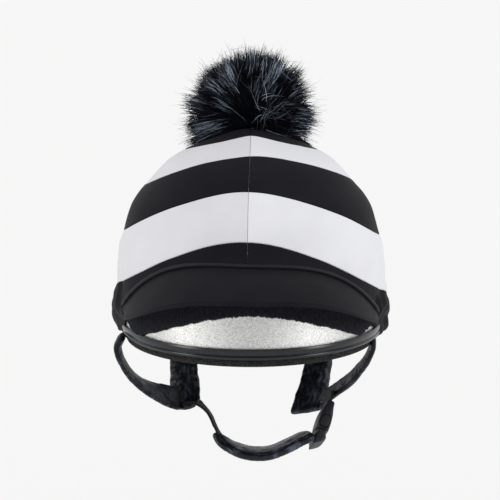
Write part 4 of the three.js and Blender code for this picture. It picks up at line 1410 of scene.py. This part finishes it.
@dataclass
class Buckle:
    """Side release buckle: a socket with a window in each side, and a plug with thumb pads."""

    length: float = 37.0
    foot: Array = field(default_factory=lambda: np.array([0.504, -0.238, 0.958]) * CHIN_SCALE)
    top: Array = field(default_factory=lambda: np.array([0.611, -0.088, 0.638]) * CHIN_SCALE)
    window_at: float = 17.4
    window_half: tuple[float, float] = (5.2, 3.5)
    thumb_half: tuple[float, float] = (4.75, 3.1)
    slot_at: float = 29.2
    socket: tuple = (
        # up, half width, half thickness, offset
        (10.9, 11.9, 4.3, 0.0), (11.9, 12.1, 4.8, 0.0), (17.0, 12.2, 5.1, 0.0),
        (22.5, 12.1, 4.9, 0.0), (27.0, 11.7, 4.2, 0.0), (30.0, 11.1, 3.4, -0.3),
        (32.6, 10.4, 3.2, -0.4), (34.0, 9.2, 2.8, -0.4))
    plug: tuple = (
        (-0.4, 10.2, 0.9, 2.7), (1.2, 11.2, 2.1, 1.7), (3.6, 11.9, 4.1, 0.5),
        (6.0, 11.9, 4.8, 0.1), (7.8, 11.8, 4.2, 0.0), (8.8, 11.8, 3.8, 0.0),
        (10.6, 11.8, 3.8, 0.0))

    def __post_init__(self) -> None:
        """Work out the buckle's own directions: up the strap, across it and through it."""
        self.up = unit(self.top - self.foot)
        across = np.array([0.2, -0.8, 0.6])
        self.across = unit(across - self.up * (across @ self.up))
        self.face = np.cross(self.across, self.up)

    def at(self, across: Array | float, face: Array | float, up: Array | float) -> Array:
        """A point from its ways across, through and up the buckle."""
        return self.foot + columns(across, face, up) @ np.array([self.across, self.face, self.up])

    def body(self, table: tuple, count: int, power: float, window: bool) -> Surface:
        """A moulded body: superellipse sections whose size follows a table.

        Args:
            table: way up, half width, half thickness and the section's offset through.
            count: sections.
            power: how square the sections are.
            window: sink an oval window into each side, with a rim round it.

        Returns:
            The closed body.
        """
        rows = np.array(table)
        up = np.linspace(rows[0, 0], rows[-1, 0], count)
        half, deep, shift = (monotone(rows[:, 0], rows[:, k], up)[:, None] for k in (1, 2, 3))
        end = np.minimum(up - up[0], up[-1] - up)
        soft = 0.55 * (1 - quarter(end / 0.8))[:, None]
        a, b = superellipse(around(108)[None, :], power)
        across, through, up = a * (half - soft), b * (deep - soft), up[:, None]
        if window:
            reach = (np.abs((up - self.window_at) / self.window_half[0]) ** 2.5
                     + np.abs(through / self.window_half[1]) ** 2.5) ** 0.4
            dent = 0.9 * (1 - smooth(reach, 0.93, 1.06)) - 0.25 * bell(reach, 1.2, 0.1)
            across = across - np.sign(across) * dent * smooth(np.abs(a), 0.8, 0.97)
            slot = ((1 - smooth(np.abs(up - self.slot_at), 1.2, 1.8))
                    * (1 - smooth(np.abs(a), 0.62, 0.72)))
            through = through * (1 - 0.62 * slot)
            seam = bell(through, 0, 0.22) * smooth(np.abs(a), 0.9, 1)
            across = across - np.sign(across) * 0.12 * seam
        return closed(self.at(across, through + shift, up))

    def button(self, sign: int) -> Surface:
        """A thumb pad: a low rounded square with grip ridges across it."""
        ring = np.linspace(0, 1, 26)[:, None]
        reach = np.where(ring < 0.5, ring * 2, 1)
        depth = np.where(ring < 0.5, 0, (ring - 0.5) * 2)
        a, b = superellipse(around(64)[None, :], 2.5)
        up = self.window_at + self.thumb_half[0] * reach * a
        through = self.thumb_half[1] * reach * b
        ridge = 0.17 * np.cos(2 * np.pi * (up - self.window_at) / 1.7)
        ridge = ridge * (1 - smooth(reach, 0.6, 0.85))
        high = 12.15 + 0.5 * np.sqrt(np.clip(1 - reach ** 4, 0, 1)) + ridge - depth * 3.0
        return closed(self.at(sign * high, through, up))

    def make(self, plastic: Material) -> None:
        """Build the socket, and the plug with its thumb pads."""
        dress("buckle_socket_shell", self.body(self.socket, 170, 4.6, True), plastic,
              "buckle_plastic", "buckle_socket")
        parts = together(self.body(self.plug, 80, 4.2, False), self.button(-1), self.button(1))
        dress("buckle_plug_body", parts, plastic, "buckle_plastic", "buckle_plug")


@dataclass
class ChinStrap:
    """Webbing from the right junction through a padded sleeve to the buckle, and its tab."""

    buckle: Buckle
    webbing: float = 15.0
    webbing_thickness: float = 2.0
    pad: float = 27.0
    pad_thickness: float = 6.6
    pad_rows: tuple[int, int] = (3, 11)
    pad_lines: int = 250
    pad_from: int = 38
    tab_end: tuple[float, float, float] = (0.585, 0.17, 0.86)
    route: tuple = (
        # side, back, down, direction across
        (-0.53, 0.25, 0.70, 0, -0.95, -0.3), (-0.435, 0.18, 0.715, 0, -0.99, 0.05),
        (-0.343, 0.07, 0.765, 0, -0.988, 0.156), (-0.262, -0.1, 0.862, 0, -0.988, 0.156),
        (-0.19, -0.22, 0.93, 0, -1, 0.05), (-0.075, -0.28, 0.975, 0, -1, 0),
        (0.04, -0.305, 0.992, 0, -1, 0), (0.165, -0.3, 0.98, 0, -1, 0),
        (0.289, -0.282, 0.93, 0.05, -1, 0), (0.385, -0.258, 0.885, 0.08, -0.98, 0.05),
        (0.475, -0.243, 0.855, 0.12, -0.92, 0.15), (0.535, -0.225, 0.885, 0.2, -0.85, 0.5))

    def band(self, rows: Array, count: int) -> Surface:
        """Webbing along a line, with selvedges a little thicker than its middle."""
        grid, flow, out = strap_grid(along_line(rows, count), self.webbing,
                                     self.webbing_thickness, 5.0)
        edge = np.abs(flow[..., 1]) / (self.webbing / 2)
        rib = 0.16 * bell(edge, 0.86, 0.08) + 0.05 * np.sin(2 * np.pi * flow[..., 0] / 1.3)
        return closed(grid + out * rib[..., None], flow)

    def make(self, web: Material, leather: Material, thread: Material) -> None:
        """Build the webbing, the tab and the sleeve with its stitches."""
        table = np.array(self.route, float) * np.concatenate([CHIN_SCALE, np.ones(3)])
        dress("chin_webbing_band", self.band(table, 320), web, "strap_webbing", "chin_webbing")
        head, top = (self.buckle.at(0.0, 0.0, self.buckle.length - low) for low in (7.5, 0.5))
        end = np.array(self.tab_end) * HARNESS_SCALE
        rows = [np.concatenate([point, self.buckle.across])
                for point in (head, top, top + (end - top) * 0.55, end)]
        dress("buckle_tab_band", self.band(rows, 90), web, "strap_webbing", "buckle_tab")
        line = along_line(table[slice(*self.pad_rows)], self.pad_lines)[self.pad_from:]
        taper = round_ends(len(line), 5, 0.2)
        width, thick = self.pad * (0.75 + 0.25 * taper), self.pad_thickness * taper
        grid, flow, out = strap_grid(line, width, thick, 3.0)
        edge = np.abs(flow[..., 1]) / (self.pad / 2)
        wrinkle = ripples(grid, (0.5, 11, 301), (0.25, 6, 302))
        swell = 0.4 * (1 - edge ** 2) - 0.8 * bell(edge, 0.8, 0.05)
        grid = grid + out * (0.7 * wrinkle * (0.4 + 0.6 * edge) + swell)[..., None]
        dress("chin_pad_sleeve", closed(grid, flow), leather, "harness_leatherette", "chin_pad",
              fill=0.55)
        dress("chin_pad_stitches", stitches(line, 0.4 * width, thick * 0.38), thread,
              "strap_webbing")


@dataclass
class Studio:
    """Camera at the photograph's angle, soft lights and a plain pale floor."""

    distance: float = 1.5
    elevation: float = math.radians(9)
    aim_height: float = 0.056
    frame_px: float = 500.0
    lens_px: float = 2090.0
    shift_px: float = 1.0
    sensor_mm: float = 36.0
    sky: float = 0.76
    floor: float = -0.36
    floor_half: float = 60.0
    suns: tuple = (
        # name, azimuth from the front to the image's right, elevation, power, spread, colour
        ("key", 70, 11, 0.95, 24, (1, 1, 1)), ("fill", -70, 11, 0.95, 24, (1.0, 0.99, 0.96)),
        ("top", 0, 66, 0.34, 50, (1, 1, 1)))

    @staticmethod
    def put(name: str, data: bpy.types.ID) -> Piece:
        """Link a new object with its data to the scene."""
        thing = bpy.data.objects.new(name, data)
        bpy.context.collection.objects.link(thing)
        return thing

    def camera(self) -> None:
        """Camera on the centre plane, in front of the cap and a little above it."""
        data = bpy.data.cameras.new("camera")
        data.sensor_width = self.sensor_mm
        data.lens = self.lens_px / self.frame_px * self.sensor_mm
        data.shift_x = -self.shift_px / self.frame_px
        data.clip_end = 200
        eye = self.put("camera", data)
        eye.location = (0, -self.distance * math.cos(self.elevation),
                        self.aim_height + self.distance * math.sin(self.elevation))
        eye.rotation_euler = (math.pi / 2 - self.elevation, 0, 0)
        bpy.context.scene.camera = eye

    def light(self) -> None:
        """An even pale sky and broad soft lights from far away."""
        world = bpy.data.worlds.new("studio")
        bpy.context.scene.world = world
        world.use_nodes = True
        sky = world.node_tree.nodes["Background"].inputs
        sky[0].default_value, sky[1].default_value = (1.0, 1.0, 1.0, 1), self.sky
        for name, azimuth, elevation, power, spread, colour in self.suns:
            data = bpy.data.lights.new(name, "SUN")
            data.energy, data.angle, data.color = power, math.radians(spread), colour
            lamp = self.put(name, data)
            lamp.rotation_euler = (math.radians(90 - elevation), 0, math.radians(azimuth))

    def make(self) -> None:
        """Set the view transform, camera, lights and floor."""
        bpy.context.scene.view_settings.view_transform = "Standard"
        self.camera()
        self.light()
        side = np.linspace(-self.floor_half, self.floor_half, 3)
        grid = columns(side[:, None], side[None, :], self.floor)
        mesh = bpy.data.meshes.new("floor")
        quads = [(a, a + 3, a + 4, a + 1) for a in (0, 1, 3, 4)]
        mesh.from_pydata(grid.reshape(-1, 3).tolist(), [], quads)
        mesh.materials.append(Graph("floor").surface(Base_Color=(0.95, 0.95, 0.95, 1),
                                                     Roughness=0.9, Specular_IOR_Level=0.0))
        self.put("floor", mesh)


def jersey(name: str, dark: Colour, light: Colour, *numbers: float) -> Material:
    """A stretch knit's material; the numbers are its sheen, roughness and gloss."""
    return StretchKnit(name, dark, light, *numbers).build()


def main() -> None:
    """Build the cap from the rim up and report each piece."""
    logging.basicConfig(level=logging.INFO, format="%(name)s %(message)s")
    Studio().make()
    # painted light: the left half's black is a lighter copy, standing in for the key light falling
    # on that side of the cap
    black = {
        Side.RIGHT: jersey("black_stretch_right", (0.0066, 0.0060, 0.0086),
                           (0.0092, 0.0085, 0.0118), 0.010),
        Side.LEFT: jersey("black_stretch_left", (0.0074, 0.0068, 0.0094),
                          (0.0104, 0.0097, 0.0128), 0.012),
    }
    # painted light, as for the black: the left half's white is the lit copy, the right half's the
    # shaded one
    white = {
        Side.RIGHT: jersey("white_stretch_right", (0.615, 0.610, 0.645), (0.660, 0.655, 0.690),
                           0.04, 0.75, 0.2),
        Side.LEFT: jersey("white_stretch_left", (0.680, 0.682, 0.712), (0.730, 0.732, 0.762),
                          0.04, 0.75, 0.2),
    }
    # each part's leatherette has its own painted highlight colour: dim on the front straps, pale
    # on the rear straps and the pad
    leather = {
        Part.FRONT: Leatherette("leatherette_front", 0.12, (0.024, 0.028, 0.040)).build(),
        Part.REAR: Leatherette("leatherette_rear", 0.34, (0.064, 0.074, 0.100)).build(),
        Part.PAD: Leatherette("leatherette_pad", 0.24, (0.075, 0.088, 0.120)).build(),
    }
    thread = Thread().build()
    helmet = SkullHelmet()
    helmet.make_shell(FleckedShell().build())
    helmet.make_trim(SatinRubber().build())
    helmet.make_liner(LiningTextile().build())
    cover = StretchCover()
    cover.make(black, white)
    peak = SoftPeak(cover)
    peak.make_peak(jersey("black_stretch_peak", (0.0066, 0.0061, 0.0085),
                          (0.0092, 0.0086, 0.0116), 0.010))
    # painted highlight: the cord's cloth is a paler copy of the black, so that the ridge of the
    # seam reads lit
    peak.make_cord(jersey("black_stretch_cord", (0.0095, 0.0090, 0.0118),
                          (0.0130, 0.0124, 0.0158), 0.02, 0.55, 0.15))
    peak.make_elastic(RibbedPlush().build())
    Pompom().make(FurFinish().build())
    Harness().make(leather, thread)
    buckle = Buckle()
    buckle.make(MouldedPlastic().build())
    ChinStrap(buckle).make(WovenStrap().build(), leather[Part.PAD], thread)


if __name__ == "__main__":
    main()
